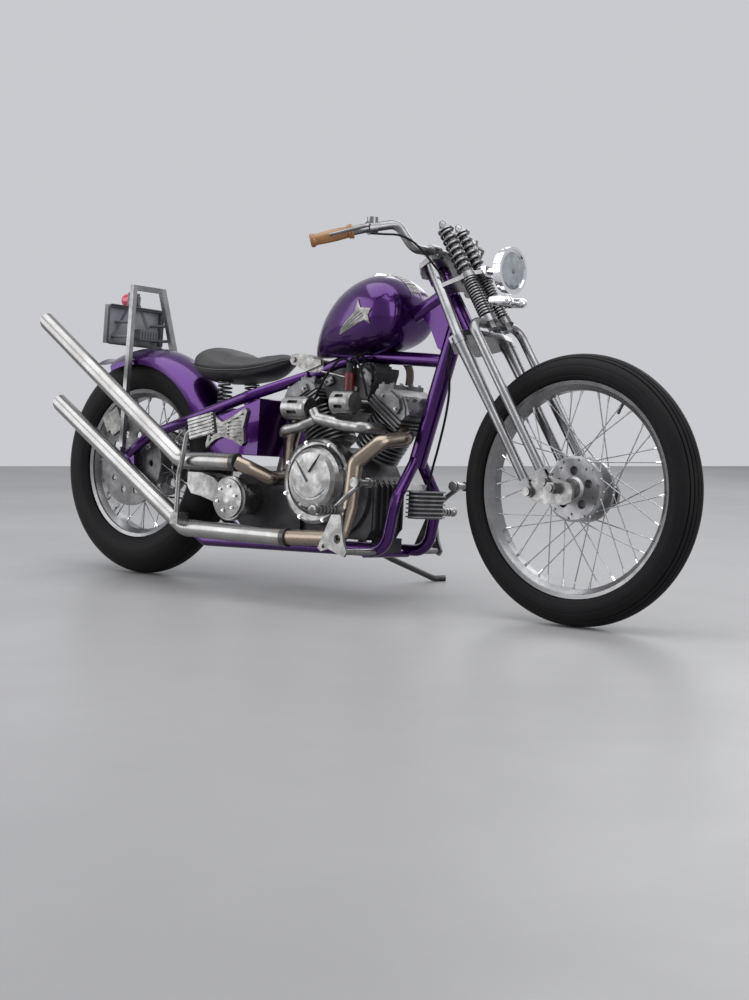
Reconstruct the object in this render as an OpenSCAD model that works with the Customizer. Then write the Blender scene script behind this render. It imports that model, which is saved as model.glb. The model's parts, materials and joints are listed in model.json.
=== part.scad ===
/* [Stance] */
// Distance between the wheel axles along the ground
wheelbase = 1607; // [1560:1:1660]
// How far the machine leans onto its side stand, in degrees
lean = 5; // [4:0.5:6]
// Angle of the steering head from upright, in degrees
rake = 32.5; // [31:0.5:34]

/* [Front wheel] */
// Outer radius of the front tyre
front_r = 349; // [345:1:352]
// Width of the front tyre
front_w = 91; // [84:1:96]
// Radius of the front rim's lip
front_rim_r = 280; // [276:1:284]
// Number of spokes in each wheel
spoke_count = 40; // [32:4:40]

/* [Rear wheel] */
// Outer radius of the rear tyre
rear_r = 346; // [342:1:350]
// Width of the rear tyre
rear_w = 132; // [126:1:134]
// Radius of the rear rim's lip
rear_rim_r = 235; // [232:1:238]
// Radius of the rear brake disc
disc_r = 135; // [125:1:140]

/* [Tubes] */
// Diameter of the frame's down tube
down_tube_d = 50; // [46:1:52]
// Diameter of the frame's upper tube
top_tube_d = 38; // [34:1:40]
// Diameter of the cradle rails and stays
rail_d = 32; // [28:1:33]
// Diameter of the tail pipes
pipe_d = 50; // [46:1:52]
// Diameter of the exhaust headers
header_d = 42; // [38:1:44]
// Diameter of the fork's straight legs
leg_d = 26; // [24:1:26]
// Diameter of the handlebar
bar_d = 25.4; // [22:0.1:25.4]

/* [Springs] */
// Turns of each coarse upper fork spring
upper_turns = 7; // [5:1:8]
// Turns of each fine lower fork spring
lower_turns = 13; // [10:1:14]
// Turns of each seat spring
seat_turns = 5; // [4:1:6]

/* [Engine] */
// Number of cooling fins on each cylinder
fin_count = 9; // [6:1:10]
// Forward tilt of the front cylinder
front_tilt = 36; // [34:1:37]
// Backward tilt of the rear cylinder
rear_tilt = -30; // [-32:1:-28]

/* [Hidden] */
$fn = 48;

// The tyres' crowns touch z = 0 once the machine leans, so the upright model is raised by this much
crown_drop = rear_w / 2 * (1 - cos(lean));
// Sideways shift that puts the middle of the leaning machine over the origin
park_y = -66;

// Sizes below are on the upright machine: x forward, y left, z up, the ground at z = 0 midway between the axles
front_axle = [wheelbase / 2, 0, front_r];
rear_axle = [-wheelbase / 2, 0, rear_r];
axle_d = 20;
axle_bore = 20.1;

// How far a bend stands proud of its straights, and how far the straights run on inside it
swell = 0.2;
tuck = 1.5;

function unit(v) = v / norm(v);
function turn(a, b, c) = acos(min(1, max(-1, unit(b - a) * unit(c - b))));
function mirror_y(path) = [for (p = path) [p.x, -p.y, p.z]];
function reversed(path) = [for (i = [len(path) - 1 : -1 : 0]) path[i]];

// Stands children, modelled up z, on point a and turns them to point at b
module along(a, b) {
    v = b - a;
    translate(a)
        rotate([0, acos(v.z / norm(v)), atan2(v.y, v.x)])
            children();
}

// A round bar from point a to point b
module rod(a, b, d) {
    along(a, b)
        cylinder(h = norm(b - a), d = d);
}

// The bend of radius r at corner b of the path a, b, c
module elbow(a, b, c, d, r) {
    u = unit(b - a);
    w = unit(c - b);
    angle = turn(a, b, c);
    n = unit(w - (w * u) * u);
    m = b - r * tan(angle / 2) * u + r * n;
    z = cross(-n, u);
    multmatrix([[-n.x, u.x, z.x, m.x], [-n.y, u.y, z.y, m.y], [-n.z, u.z, z.z, m.z], [0, 0, 0, 1]])
        rotate_extrude(angle = angle)
            translate([r, 0])
                circle(d = d + 2 * swell);
}

// A bar bent along a path, with one bend radius; each bend is a hair thicker than the straights tucked into it
module bent_bar(path, d, r) {
    last = len(path) - 1;
    function trim(i) = (i == 0 || i == last) ? 0
        : r * tan(turn(path[i - 1], path[i], path[i + 1]) / 2) - tuck;
    for (i = [0 : last - 1]) {
        u = unit(path[i + 1] - path[i]);
        rod(path[i] + trim(i) * u, path[i + 1] - trim(i + 1) * u, d);
    }
    for (i = [1 : last - 1])
        elbow(path[i - 1], path[i], path[i + 1], d, r);
}

// A closed skin over rings of equal length, capped flat at both ends
module skin(rings) {
    n = len(rings[0]);
    m = len(rings);
    points = [for (ring = rings) for (p = ring) p];
    sides = [for (i = [0 : m - 2]) for (j = [0 : n - 1])
        let (k = (j + 1) % n)
        each [[i * n + j, (i + 1) * n + j, (i + 1) * n + k], [i * n + j, (i + 1) * n + k, i * n + k]]];
    first = [[for (j = [0 : n - 1]) j]];
    final = [[for (j = [n - 1 : -1 : 0]) (m - 1) * n + j]];
    polyhedron(points = points, faces = concat(sides, first, final));
}

// Rings of a loft along x: stations hold x, lowest z, highest z and half width; e squares the section off
function loft_ring(s, e, n, grow = 0) = [for (j = [0 : n - 1])
    let (a = 360 * j / n, c = cos(a), v = sin(a))
    [s[0], (s[3] + grow) * sign(c) * pow(abs(c), e),
        (s[1] + s[2]) / 2 + ((s[2] - s[1]) / 2 + grow) * sign(v) * pow(abs(v), e)]];
function loft_rings(stations, e, n, grow = 0) = [for (s = stations) loft_ring(s, e, n, grow)];

// Rings of a cord or wire along points, turned so that they never twist
function sweep_ring(p, t, d, n) = let (
        side = unit(cross(t, abs(t.y) < 0.9 ? [0, 1, 0] : [1, 0, 0])),
        lift = cross(t, side))
    [for (j = [0 : n - 1]) p + d / 2 * (cos(360 * j / n) * side + sin(360 * j / n) * lift)];
function tangent(path, i) = unit(path[min(i + 1, len(path) - 1)] - path[max(i - 1, 0)]);
function sweep_rings(path, d, n) = [for (i = [0 : len(path) - 1])
    sweep_ring(path[i], tangent(path, i), d, n)];

// A smooth run of points through the corners of a route, by Catmull's rule, with k steps a stretch
function smooth(p, k) = let (last = len(p) - 1) concat(
    [for (i = [0 : last - 1]) for (j = [0 : k - 1])
        let (t = j / k, a = p[max(i - 1, 0)], b = p[i], c = p[i + 1], d = p[min(i + 2, last)])
        0.5 * (2 * b + (c - a) * t + (2 * a - 5 * b + 4 * c - d) * t * t + (3 * b - a - 3 * c + d) * t * t * t)],
    [p[last]]);

// A coil spring standing on z = 0
module coil(turns, height, d, wire, per_turn, sides) {
    steps = turns * per_turn;
    path = [for (i = [0 : steps])
        let (a = 360 * i / per_turn)
        [(d - wire) / 2 * cos(a), (d - wire) / 2 * sin(a), wire / 2 + (height - wire) * i / steps]];
    skin(sweep_rings(path, wire, sides));
}

// Turns a profile drawn in x and z into a plate between y = from and y = to
module plate_y(from, to) {
    translate([0, to, 0])
        rotate([90, 0, 0])
            linear_extrude(to - from)
                children();
}

// A cylinder lying along y from one y to another
module drum_y(x, z, from, to, d) {
    translate([x, to, z])
        rotate([90, 0, 0])
            cylinder(h = to - from, d = d);
}

module both_sides() {
    children();
    mirror([0, 1, 0])
        children();
}

// Leans the machine onto its side stand
module parked() {
    translate([0, park_y, crown_drop])
        rotate([-lean, 0, 0])
            children();
}

/* ---- Frame ---- */

// Middle of the head tube, and the fork's own frame: x ahead of the steering axis, z up along it
neck = [353, 0, 857];
head_top = 66;
head_bottom = -155;
head_d = 60;
stem_d = 30;
stem_bore = 30.1;

module in_fork() {
    translate(neck)
        rotate([0, -rake, 0])
            children();
}

upper_path = [[353, 0, 676], [60, 0, 690], [-22, 0, 668], [-150, 0, 625]];
down_top = [393, 0, 792];
down_bottom = [272, 0, 385];
backbone = [[350, 0, 865], [60, 0, 700]];
gusset = [[340, 850], [392, 770], [366, 690], [330, 712], [300, 770], [262, 808]];

module down_tube() {
    rod(down_top, down_bottom, down_tube_d);
}

module upper_tube(extra = 0) {
    bent_bar(upper_path, top_tube_d + extra, 120);
}

module frame_front() {
    color("indigo")
        difference() {
            union() {
                in_fork()
                    translate([0, 0, head_bottom]) {
                        cylinder(h = head_top - head_bottom, d = head_d);
                        cylinder(h = 16, d = head_d + 6);
                        translate([0, 0, head_top - head_bottom - 16])
                            cylinder(h = 16, d = head_d + 6);
                    }
                down_tube();
                rod(backbone[0], backbone[1], 42);
                upper_tube();
                plate_y(-10, 10)
                    polygon(gusset);
            }
            in_fork()
                translate([0, 0, head_bottom - 40])
                    cylinder(h = head_top - head_bottom + 80, d = stem_bore);
        }
}

rail_y = 95;
rail_path = [[276, -12, 400], [280, -rail_y, 290], [252, -rail_y, 148], [-440, -rail_y, 128], [-770, -105, 318]];
// Cross tubes of the cradle: x, z
cradle_ties = [[180, 136], [-300, 132]];
tie_d = 22;

module cradle_tie(tie, d = tie_d) {
    drum_y(tie[0], tie[1], -rail_y, rail_y, d);
}

stand_pivot = [-20, 134, 150];
stand_axis = unit([-0.06, 0.33, 0.94]);
stand_pin_d = 12;
stand_boss_h = 36;
lug_t = 7;

// Places children with z along the side stand's hinge and x pointing away from the machine
module at_stand() {
    along(stand_pivot, stand_pivot + stand_axis)
        children();
}

module stand_bracket() {
    at_stand() {
        for (z = [stand_boss_h / 2 + 0.4, -stand_boss_h / 2 - 0.4 - lug_t])
            translate([0, 0, z])
                linear_extrude(lug_t)
                    union() {
                        circle(r = 14);
                        translate([-36, -13.5])
                            square([36, 27]);
                    }
        translate([0, 0, -stand_boss_h / 2 - lug_t - 6])
            cylinder(h = stand_boss_h + 2 * lug_t + 12, d = stand_pin_d);
        translate([0, 0, stand_boss_h / 2 + lug_t + 4])
            cylinder(h = 6, d = 19, $fn = 6);
    }
}

module frame_cradle() {
    color("indigo")
        difference() {
            union() {
                both_sides()
                    bent_bar(rail_path, rail_d, 55);
                for (tie = cradle_ties)
                    cradle_tie(tie);
                stand_bracket();
            }
            down_tube();
            axle_plates();
        }
}

stay_path = [[-136, -12, 629], [-290, -100, 562], [-700, -105, 431], [-784, -105, 372]];
plate_in = 100;
plate_t = 10;
seat_tie = [-430, 517];
box_tie = [-300, 548];

module axle_plates() {
    both_sides()
        translate([rear_axle.x, 0, rear_axle.z])
            plate_y(-plate_in - plate_t, -plate_in)
                difference() {
                    polygon([[-46, -20], [-46, 20], [-14, 44], [44, 30], [52, -30], [12, -40], [-24, -38]]);
                    circle(d = axle_d + 0.4);
                }
}

// Short rod from the seat crossbar back to the fender, cut to the fender's curve
module fender_stay() {
    difference() {
        rod([-438, 36, 512], [-482, 36, 497], 10);
        translate(rear_axle)
            rotate([90, 0, 0])
                rotate_extrude()
                    fender_section(-0.05);
    }
}

module frame_rear() {
    color("indigo")
        difference() {
            union() {
                difference() {
                    union() {
                        both_sides() {
                            bent_bar(stay_path, rail_d, 80);
                            fender_stay();
                        }
                        for (tie = [seat_tie, box_tie])
                            drum_y(tie[0], tie[1], -98, 98, tie_d);
                    }
                    drum_y(rear_axle.x, rear_axle.z, -200, 200, 46);
                }
                axle_plates();
            }
            upper_tube();
        }
}

/* ---- Tank ---- */

// Columns: x, lowest z, highest z, half width
tank_stations = [
    [-110, 684, 698, 8], [-98, 682, 724, 26], [-70, 682, 772, 52], [-30, 683, 830, 78], [20, 685, 877, 99],
    [75, 688, 906, 114], [130, 695, 918, 124], [180, 708, 911, 126], [215, 726, 891, 115], [238, 752, 862, 88],
    [248, 780, 836, 50], [250, 796, 820, 20]];
tank_sides = 28;
tank_square = 0.85;

module tank_body(grow = 0) {
    skin(loft_rings(tank_stations, tank_square, tank_sides, grow));
}

module fuel_tank() {
    color("indigo")
        difference() {
            tank_body();
            rod([380, 0, 882], [-5, 0, 663], 43);
            upper_tube(1);
            plate_y(-10.5, 10.5)
                polygon(gusset);
        }
}

trim_t = 4;
// A four-pointed star with a long tail, low on each side of the tank
star = [[131, 838], [143, 815], [184, 812], [172, 795], [177, 769], [160, 781], [52, 740], [60, 757], [124, 806]];
dash_half = 19;
rib_step = 10;

// A star on each side of the tank, and a ribbed strip over the top of its nose
module tank_ornaments() {
    difference() {
        intersection() {
            union() {
                both_sides()
                    plate_y(-140, -60)
                        polygon(star);
                for (x = [158 : rib_step : 232])
                    translate([x, -dash_half, 848])
                        cube([rib_step - 3, 2 * dash_half, 100]);
                for (y = [-dash_half - 3, dash_half - 1])
                    translate([156, y, 848])
                        cube([86, 4, 100]);
            }
            tank_body(trim_t);
        }
        tank_body(0.05);
        rod(backbone[0], backbone[1], 43);
    }
}

// Chrome trim: tank ornaments, dash strip and the wing grilles of the side box
module chrome_trim() {
    color("silver") {
        tank_ornaments();
        both_sides()
            side_wing();
    }
}

/* ---- Seat ---- */

seat_stations = [
    [-562, 650, 670, 36], [-552, 640, 692, 74], [-530, 618, 708, 102], [-500, 602, 715, 118], [-450, 600, 704, 126],
    [-400, 605, 689, 120], [-340, 613, 683, 101], [-285, 626, 689, 73], [-240, 646, 697, 48], [-208, 668, 692, 20]];
seat_spring_y = 58;
spring_base = 534;
spring_top = 600;
cap_top = 606;

module at_seat_springs() {
    for (y = [-seat_spring_y, seat_spring_y])
        translate([seat_tie[0], y, 0])
            children();
}

module seat() {
    color([0.1, 0.1, 0.1])
        difference() {
            skin(loft_rings(seat_stations, 0.8, 24));
            at_seat_springs()
                translate([0, 0, spring_top])
                    cylinder(h = cap_top - spring_top, d = 48.2);
        }
}

module seat_springs() {
    color("dimgray")
        at_seat_springs() {
            difference() {
                translate([0, 0, 519])
                    cylinder(h = spring_base - 519, d = 48);
                drum_y(0, seat_tie[1], -80, 80, tie_d);
            }
            translate([0, 0, spring_base])
                coil(seat_turns, spring_top - spring_base, 46, 6, 12, 6);
            translate([0, 0, spring_top])
                cylinder(h = cap_top - spring_top, d = 48);
        }
}

hinge_pin = [-186, 676];

// The seat's nose hinge: a block on the frame, two cheeks, a pin, and a tongue from the seat
module seat_hinge() {
    color("silver") {
        difference() {
            translate([-136, -19, 640])
                cube([60, 38, 34]);
            upper_tube(0.1);
        }
        both_sides()
            difference() {
                plate_y(19, 26)
                    polygon([[-80, 662], [-82, 676], [-112, 679], [-120, 691], [-176, 694], [-196, 690], [-202, 674],
                        [-194, 662], [-180, 660], [-136, 642]]);
                drum_y(hinge_pin[0], hinge_pin[1], 0, 40, 10);
            }
        drum_y(hinge_pin[0], hinge_pin[1], -32, 32, 9.8);
        both_sides()
            translate([hinge_pin[0], 32, hinge_pin[1]])
                rotate([90, 0, 0])
                    cylinder(h = 6, d = 18, $fn = 6);
        difference() {
            union() {
                drum_y(hinge_pin[0], hinge_pin[1], -18.5, 18.5, 20);
                translate([-208, -16, 670])
                    cube([20, 32, 20]);
            }
            drum_y(hinge_pin[0], hinge_pin[1], -40, 40, 10);
        }
    }
}

/* ---- Rear fender and sissy bar ---- */

fender_r = 366;
fender_half = 84;
fender_t = 4;
fender_crown = 104;
fender_skirt = 58;
fender_from = 22;
fender_to = 112;
tip_turn = 30;
tip_r = 120;

module fender_section(inset) {
    intersection() {
        translate([fender_r - fender_crown, 0])
            circle(r = fender_crown - inset);
        translate([fender_r - fender_skirt - inset, inset - fender_half])
            square([fender_skirt + inset + 1, 2 * (fender_half - inset)]);
    }
}

module fender_profile() {
    difference() {
        fender_section(0);
        fender_section(fender_t);
    }
}

// Runs round the tyre, then its tail flips up and away
module rear_fender() {
    color("indigo")
        translate(rear_axle)
            rotate([90, 0, 0]) {
                rotate([0, 0, fender_from])
                    rotate_extrude(angle = fender_to - fender_from)
                        fender_profile();
                rotate([0, 0, fender_to])
                    translate([fender_r + tip_r, 0, 0])
                        rotate([0, 0, 180 - tip_turn])
                            rotate_extrude(angle = tip_turn)
                                translate([fender_r + tip_r, 0])
                                    mirror([1, 0])
                                        fender_tip_profile();
            }
}

module fender_tip_profile() {
    intersection() {
        fender_profile();
        translate([fender_r - 24, -fender_half])
            square([30, 2 * fender_half]);
    }
}

sissy_half = [[-792, -130, 376], [-800, -121, 560], [-861, -62, 902]];
sissy_path = concat(sissy_half, reversed(mirror_y(sissy_half)));
sissy_w = 16;

// Square bars mitred at the corners of the path
module sissy_frame(w) {
    for (i = [0 : len(sissy_path) - 2])
        hull()
            for (p = [sissy_path[i], sissy_path[i + 1]])
                translate(p)
                    cube(w, center = true);
}

module sissy_bar() {
    color("silver") {
        sissy_frame(sissy_w);
        both_sides() {
            rod([-791, -146, 384], [-791, -121, 384], 10);
            rod([-791, -146, 384], [-791, -140, 384], 18);
            rod([-817, -106, 667], [-817, -84, 667], 9);
        }
    }
}

plate_x = -925;
plate_half = 118;
plate_low = 720;
plate_high = 843;
plate_bolt_y = 88;
plate_bolt_z = 826;

// A blank number plate in a shallow tray, a V of flat bars up to the lamp, a ribbed box, and arms to the sissy bar
module plate_holder() {
    color("gray") {
        difference() {
            union() {
                translate([plate_x - 4, -plate_half, plate_low])
                    cube([4, 2 * plate_half, plate_high - plate_low]);
                difference() {
                    translate([plate_x, -plate_half, plate_low])
                        cube([16, 2 * plate_half, plate_high - plate_low]);
                    translate([plate_x - 1, 6 - plate_half, plate_low + 6])
                        cube([20, 2 * plate_half - 12, plate_high - plate_low - 12]);
                }
                both_sides() {
                    rod([plate_x - 2, -77, 790], [-846, -77, 790], 10);
                    rod([plate_x - 2, -89, 742], [-838, -89, 742], 10);
                    translate([plate_x - 0.5, 0, 0])
                        rotate([90, 0, 90])
                            linear_extrude(5)
                                polygon([[-100, 732], [-84, 732], [-12, 858], [-12, 882], [-24, 882], [-24, 856]]);
                }
                translate([plate_x - 4, -24, plate_high - 1])
                    cube([4, 48, 50]);
                translate([plate_x - 0.5, 4, 740])
                    cube([34, 78, 34]);
                for (i = [0 : 6])
                    translate([plate_x, 6 + 12 * i - 4, 745])
                        cube([38, 5, 24]);
            }
            both_sides()
                translate([plate_x, plate_bolt_y, plate_bolt_z])
                    rotate([0, 90, 0])
                        cylinder(h = 30, d = 6.5, center = true);
            sissy_frame(sissy_w + 0.1);
        }
    }
}

lamp_z = 868;

module tail_lamp() {
    color("red")
        translate([plate_x - 4, 0, lamp_z])
            rotate([0, -90, 0])
                rotate_extrude()
                    union() {
                        square([25, 8]);
                        intersection() {
                            translate([0, 24])
                                circle(r = 22.5);
                            square([22.5, 60]);
                        }
                        square([22.5, 24]);
                    }
}

/* ---- Battery box ---- */

box_side = [[-395, 388], [-205, 388], [-205, 552], [-395, 488]];
box_half = 140;
// Wing-shaped grille on each side of the box: its outline, and the edge of its sunk field
wing = [[-256, 525], [-246, 516], [-258, 470], [-251, 424], [-261, 414], [-300, 430], [-340, 438], [-372, 428],
    [-405, 403], [-408, 414], [-394, 460], [-401, 500], [-396, 510], [-370, 494], [-344, 481], [-300, 500]];
wing_field = [[-258, 511], [-266, 470], [-261, 427], [-298, 438], [-340, 446], [-374, 437], [-395, 421], [-386, 460],
    [-391, 497], [-372, 485], [-344, 472], [-300, 490]];

module side_box() {
    color("indigo") {
        plate_y(-box_half, box_half)
            polygon(box_side);
        both_sides()
            difference() {
                translate([box_tie[0] - 8, 40, 515])
                    cube([16, 12, 33]);
                drum_y(box_tie[0], box_tie[1], 0, 98, tie_d);
            }
    }
}

module side_wing() {
    difference() {
        plate_y(-box_half - 9, -box_half - 0.05)
            polygon(wing);
        plate_y(-box_half - 10, -box_half - 3)
            polygon(wing_field);
    }
    intersection() {
        plate_y(-box_half - 7, -box_half - 0.05)
            polygon(wing);
        union() {
            for (i = [0 : 7])
                translate([-404, -box_half - 7, 420 + 11 * i])
                    rotate([0, -5, 0])
                        cube([160, 6.9, 5]);
            plate_y(-box_half - 12, -box_half - 0.05)
                polygon([[-330, 430], [-322, 430], [-322, 500], [-330, 498]]);
        }
    }
}

/* ---- Engine ---- */

crank = [41, 0, 300];
case_half = 78;
case_r = 126;

module crankcase() {
    color("darkslategray") {
        difference() {
            union() {
                drum_y(crank.x, crank.z, -case_half, case_half, 2 * case_r);
                // sump with raised ribs, and the deck that carries the cylinders
                plate_y(-66, 66)
                    polygon([[-78, 176], [160, 176], [176, 200], [176, 330], [120, 388], [-40, 388], [-78, 360]]);
                for (y = [-60 : 24 : 60])
                    plate_y(y - 3, y + 3)
                        polygon([[-70, 170], [150, 170], [184, 204], [184, 320], [170, 340], [-70, 340]]);
                translate([150, -30, 140])
                    cube([60, 60, 40]);
            }
            cradle_tie(cradle_ties[0]);
        }
        difference() {
            union() {
                plate_y(-case_half, 60)
                    polygon([[-330, 200], [-310, 180], [-78.5, 180], [-78.5, 292], [-196, 292], [-210, 340], [-300, 346],
                        [-330, 326]]);
                translate([-330, -24, 138])
                    cube([60, 48, 50]);
                drum_y(gear_shaft[0], gear_shaft[1], 59, 69, 70);
            }
            cradle_tie(cradle_ties[1]);
            drum_y(crank.x, crank.z, -95, 95, 2 * case_r + 0.5);
        }
    }
}

cover_mid = [6, 326];
cover_r = 122;
dome_mid = [22, 330];
dome_r = 100;
cover_step = 44;
cover_face = 88;

// The right cover: a thick flange, a dome set forward on it, and a plain wedge sunk in its face
module right_cover() {
    translate([cover_mid[0], -case_half - 0.5, cover_mid[1]])
        rotate([90, 0, 0])
            rotate_extrude()
                polygon([[0, 0], [cover_r, 0], [cover_r, cover_step - 8], [cover_r - 3, cover_step - 3],
                    [cover_r - 9, cover_step], [cover_r - 12, cover_step - 2], [0, cover_step - 2]]);
    difference() {
        translate([dome_mid[0], -case_half - 0.5, dome_mid[1]])
            rotate([90, 0, 0])
                rotate_extrude()
                    polygon([[0, 10], [dome_r, 10], [dome_r, cover_step + 10], [dome_r - 4, cover_step + 22],
                        [dome_r - 12, cover_step + 32], [dome_r - 24, cover_step + 39], [50, cover_face - 2], [0, cover_face]]);
        // wedge
        plate_y(-190, -case_half - cover_face + 7)
            polygon([[dome_mid[0] - 62, dome_mid[1] + 58], [dome_mid[0] - 40, dome_mid[1] + 74],
                [dome_mid[0] - 6, dome_mid[1] + 20], [dome_mid[0] + 34, dome_mid[1] + 76],
                [dome_mid[0] + 56, dome_mid[1] + 60], [dome_mid[0] - 6, dome_mid[1] - 10]]);
        // curved groove under it
        plate_y(-190, -case_half - cover_face + 5)
            difference() {
                translate([dome_mid[0], dome_mid[1] + 20])
                    circle(r = 76);
                translate([dome_mid[0], dome_mid[1] + 20])
                    circle(r = 71);
                translate([dome_mid[0] - 100, dome_mid[1] - 24])
                    square([200, 140]);
            }
        drum_y(dome_mid[0] - 34, dome_mid[1] - 70, -190, -case_half - 80, 13);
    }
}

drum_mid = [-272, 261];
gear_shaft = [-250, 271];

module rear_drum() {
    translate([drum_mid[0], -case_half - 0.4, drum_mid[1]])
        rotate([90, 0, 0])
            rotate_extrude()
                polygon([[0, 0], [46, 0], [50, 78], [65, 82], [65, 96], [62, 99], [58, 99], [57, 105], [0, 109]]);
}

// Starter housing behind the drum
module starter_box() {
    difference() {
        plate_y(-176, -96)
            polygon([[-446, 330], [-446, 290], [-428, 268], [-386, 262], [-300, 240], [-300, 290], [-340, 318], [-386, 330]]);
        drum_y(drum_mid[0], drum_mid[1], -200, -70, 96);
    }
    rod([-326, -100, 285], [-326, -78.4, 285], 24);
}

module left_covers() {
    translate([crank.x, case_half + 0.5, crank.z])
        rotate([-90, 0, 0])
            rotate_extrude()
                polygon([[0, 0], [108, 0], [108, 14], [100, 20], [96, 40], [80, 54], [50, 60], [0, 62]]);
    translate([gear_shaft[0], belt_out + 4, gear_shaft[1]])
        rotate([-90, 0, 0])
            rotate_extrude()
                polygon([[0, 0], [62, 0], [62, 6], [54, 14], [30, 18], [0, 20]]);
    for (p = [[-205, 330], [-205, 212], [-300, 212]])
        rod([p[0], 60, p[1]], [p[0], belt_out + 4, p[1]], 12);
}

module engine_covers() {
    color("silver") {
        right_cover();
        rear_drum();
        starter_box();
        left_covers();
    }
}

// Places children on a cylinder's axis, measured from the crank
module bank(tilt) {
    translate(crank)
        rotate([0, tilt, 0])
            children();
}

barrel_from = 138;
barrel_to = 265;
fin_from = 148;
fin_step = 13;
fin_t = 4;
head_to = 300;

module barrels() {
    color("dimgray")
        for (tilt = [front_tilt, rear_tilt])
            bank(tilt) {
                translate([0, 0, barrel_from])
                    cylinder(h = barrel_to - barrel_from, d = 104);
                for (i = [0 : fin_count - 1])
                    translate([0, 0, fin_from + fin_step * i])
                        cylinder(h = fin_t, d = 140);
            }
}

module heads() {
    color("gray") {
        for (tilt = [front_tilt, rear_tilt])
            bank(tilt) {
                for (i = [0 : 2])
                    translate([-66, -74, barrel_to + 0.3 + 12 * i])
                        cube([132, 148, 5]);
                translate([-56, -66, barrel_to + 0.3])
                    cube([112, 132, head_to - barrel_to + 1]);
            }
        rocker_covers();
    }
}

// Angular rocker covers: a ridge along the middle with two raised lids on each slope and one on the right face
module rocker_covers() {
    for (tilt = [front_tilt, rear_tilt])
        bank(tilt) {
            plate_y(-72, 72)
                polygon([[-62, 300.6], [62, 300.6], [64, 314], [46, 336], [16, 350], [-16, 350], [-46, 336], [-64, 314]]);
            for (side = [-1, 1])
                for (y = [-68, 17])
                    translate([side * 41, y, 332])
                        rotate([0, side * 35, 0])
                            translate([-26, 0, 0])
                                cube([52, 51, 13]);
            plate_y(-80, -71)
                polygon([[-40, 306], [40, 306], [40, 326], [20, 342], [-20, 342], [-40, 326]]);
        }
}

module air_box() {
    color([0.12, 0.12, 0.13]) {
        difference() {
            plate_y(-52, 52)
                polygon([[-2, 500], [44, 500], [112, 526], [130, 580], [150, 640], [150, 654], [20, 650], [-20, 636], [-46, 610],
                    [-22, 560]]);
            for (tilt = [front_tilt, rear_tilt])
                bank(tilt) {
                    translate([0, 0, barrel_from])
                        cylinder(h = barrel_to - barrel_from, d = 141);
                    translate([-67, -75, barrel_to])
                        cube([134, 150, 36]);
                    plate_y(-81, 80)
                        polygon([[-63, 299], [63, 299], [66, 315], [60, 352], [-60, 352], [-66, 315]]);
                }
        }
        // cap above the coil
        rod([66, -66, 636.2], [66, -66, 664], 20);
    }
}

module ignition_coil() {
    color("firebrick") {
        difference() {
            rod([66, -64, 584], [66, -64, 636], 30);
            plate_y(-52, 52)
                polygon([[30, 560], [110, 560], [110, 660], [30, 660]]);
        }
    }
}

throttle_y = -142;
slot_d = 68;

// A slotted chrome canister lying along x, stubbed to the engine behind it
module canister(x, z, l, stub_x, stub_to) {
    difference() {
        union() {
            translate([x, throttle_y, z])
                rotate([0, 90, 0])
                    rotate_extrude()
                        polygon([[0, 0], [slot_d / 2 - 5, 0], [slot_d / 2, 5], [slot_d / 2, l - 5], [slot_d / 2 - 5, l], [0, l]]);
            rod([stub_x, throttle_y + 10, z], [stub_x, stub_to, z], 34);
        }
        for (a = [-30, 22])
            translate([x + l * 0.3, throttle_y, z])
                rotate([a, 0, 0])
                    translate([0, -slot_d / 2 - 1, -5])
                        cube([l * 0.4, 10, 10]);
    }
}

module intake() {
    color("silver") {
        canister(-96, 529, 90, -72, -74.5);
        canister(84, 549, 72, 112, -52);
        bent_bar([[6, -142, 524.5], [22, -142, 502], [122, -142, 487], [196, -142, 481], [198, -70.5, 480]], 35, 22);
        difference() {
            bent_bar([[-112, -130, 456], [-96, -142, 466], [-40, -142, 478], [14, -142, 500]], 31, 20);
            bent_bar([[6, -142, 524.5], [22, -142, 502], [122, -142, 487], [196, -142, 481], [198, -70.5, 480]], 34, 22);
        }
    }
}

fuel_route = [[84, 44, 662], [102, 44, 674], [136, 44, 682], [170, 44, 680], [192, 44, 658], [197, 44, 632], [194, 44, 609]];

module fuel_hose() {
    color("tan")
        skin(sweep_rings(smooth(fuel_route, 3), 22, 10));
}

/* ---- Exhausts ---- */

upper_tail = [[-1092, -220, 784], [-432, -220, 364], [-212, -215, 366]];
upper_header = [[-212, -215, 366], [-184, -198, 354], [-148, -134, 324], [-154, -52, 332], [-178, -28, 430], [-172, -10, 505],
    [-150, 0, 518]];
lower_tail = [[-1001, -220, 524], [-398, -220, 168], [0, -218, 168]];
lower_header = [[0, -217, 169], [186, -206, 177], [198, -189, 262], [206, -186, 385], [262, -150, 444], [292, -70, 458],
    [250, -45, 476]];
tail_bore = 44;

// A tail pipe, hollow and cut on a slant at its end, with a ring where the header slides in
module tail_pipe(path, cut) {
    difference() {
        bent_bar(path, pipe_d, 60);
        rod(path[0] - 5 * unit(path[1] - path[0]), path[0] + 260 * unit(path[1] - path[0]), tail_bore);
        translate(path[0])
            rotate([0, cut, 0])
                translate([-160, -60, -100])
                    cube([160, 120, 200]);
    }
}

module exhaust_upper() {
    color("silver") {
        tail_pipe(upper_tail, -4);
        difference() {
            bent_bar(upper_header, header_d, 28);
            bank(rear_tilt)
                translate([-67, -75, barrel_to])
                    cube([134, 150, 80]);
        }
    }
}

module exhaust_lower() {
    color("silver") {
        tail_pipe(lower_tail, -4);
        difference() {
            bent_bar(lower_header, header_d, 28);
            bank(front_tilt) {
                translate([-67, -75, barrel_to])
                    cube([134, 150, 80]);
                translate([0, 0, barrel_from])
                    cylinder(h = barrel_to - barrel_from, d = 141);
            }
        }
    }
}

/* ---- Oil cooler, belt, cords ---- */

cooler_half = 62;
cooler_fins = 7;

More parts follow.
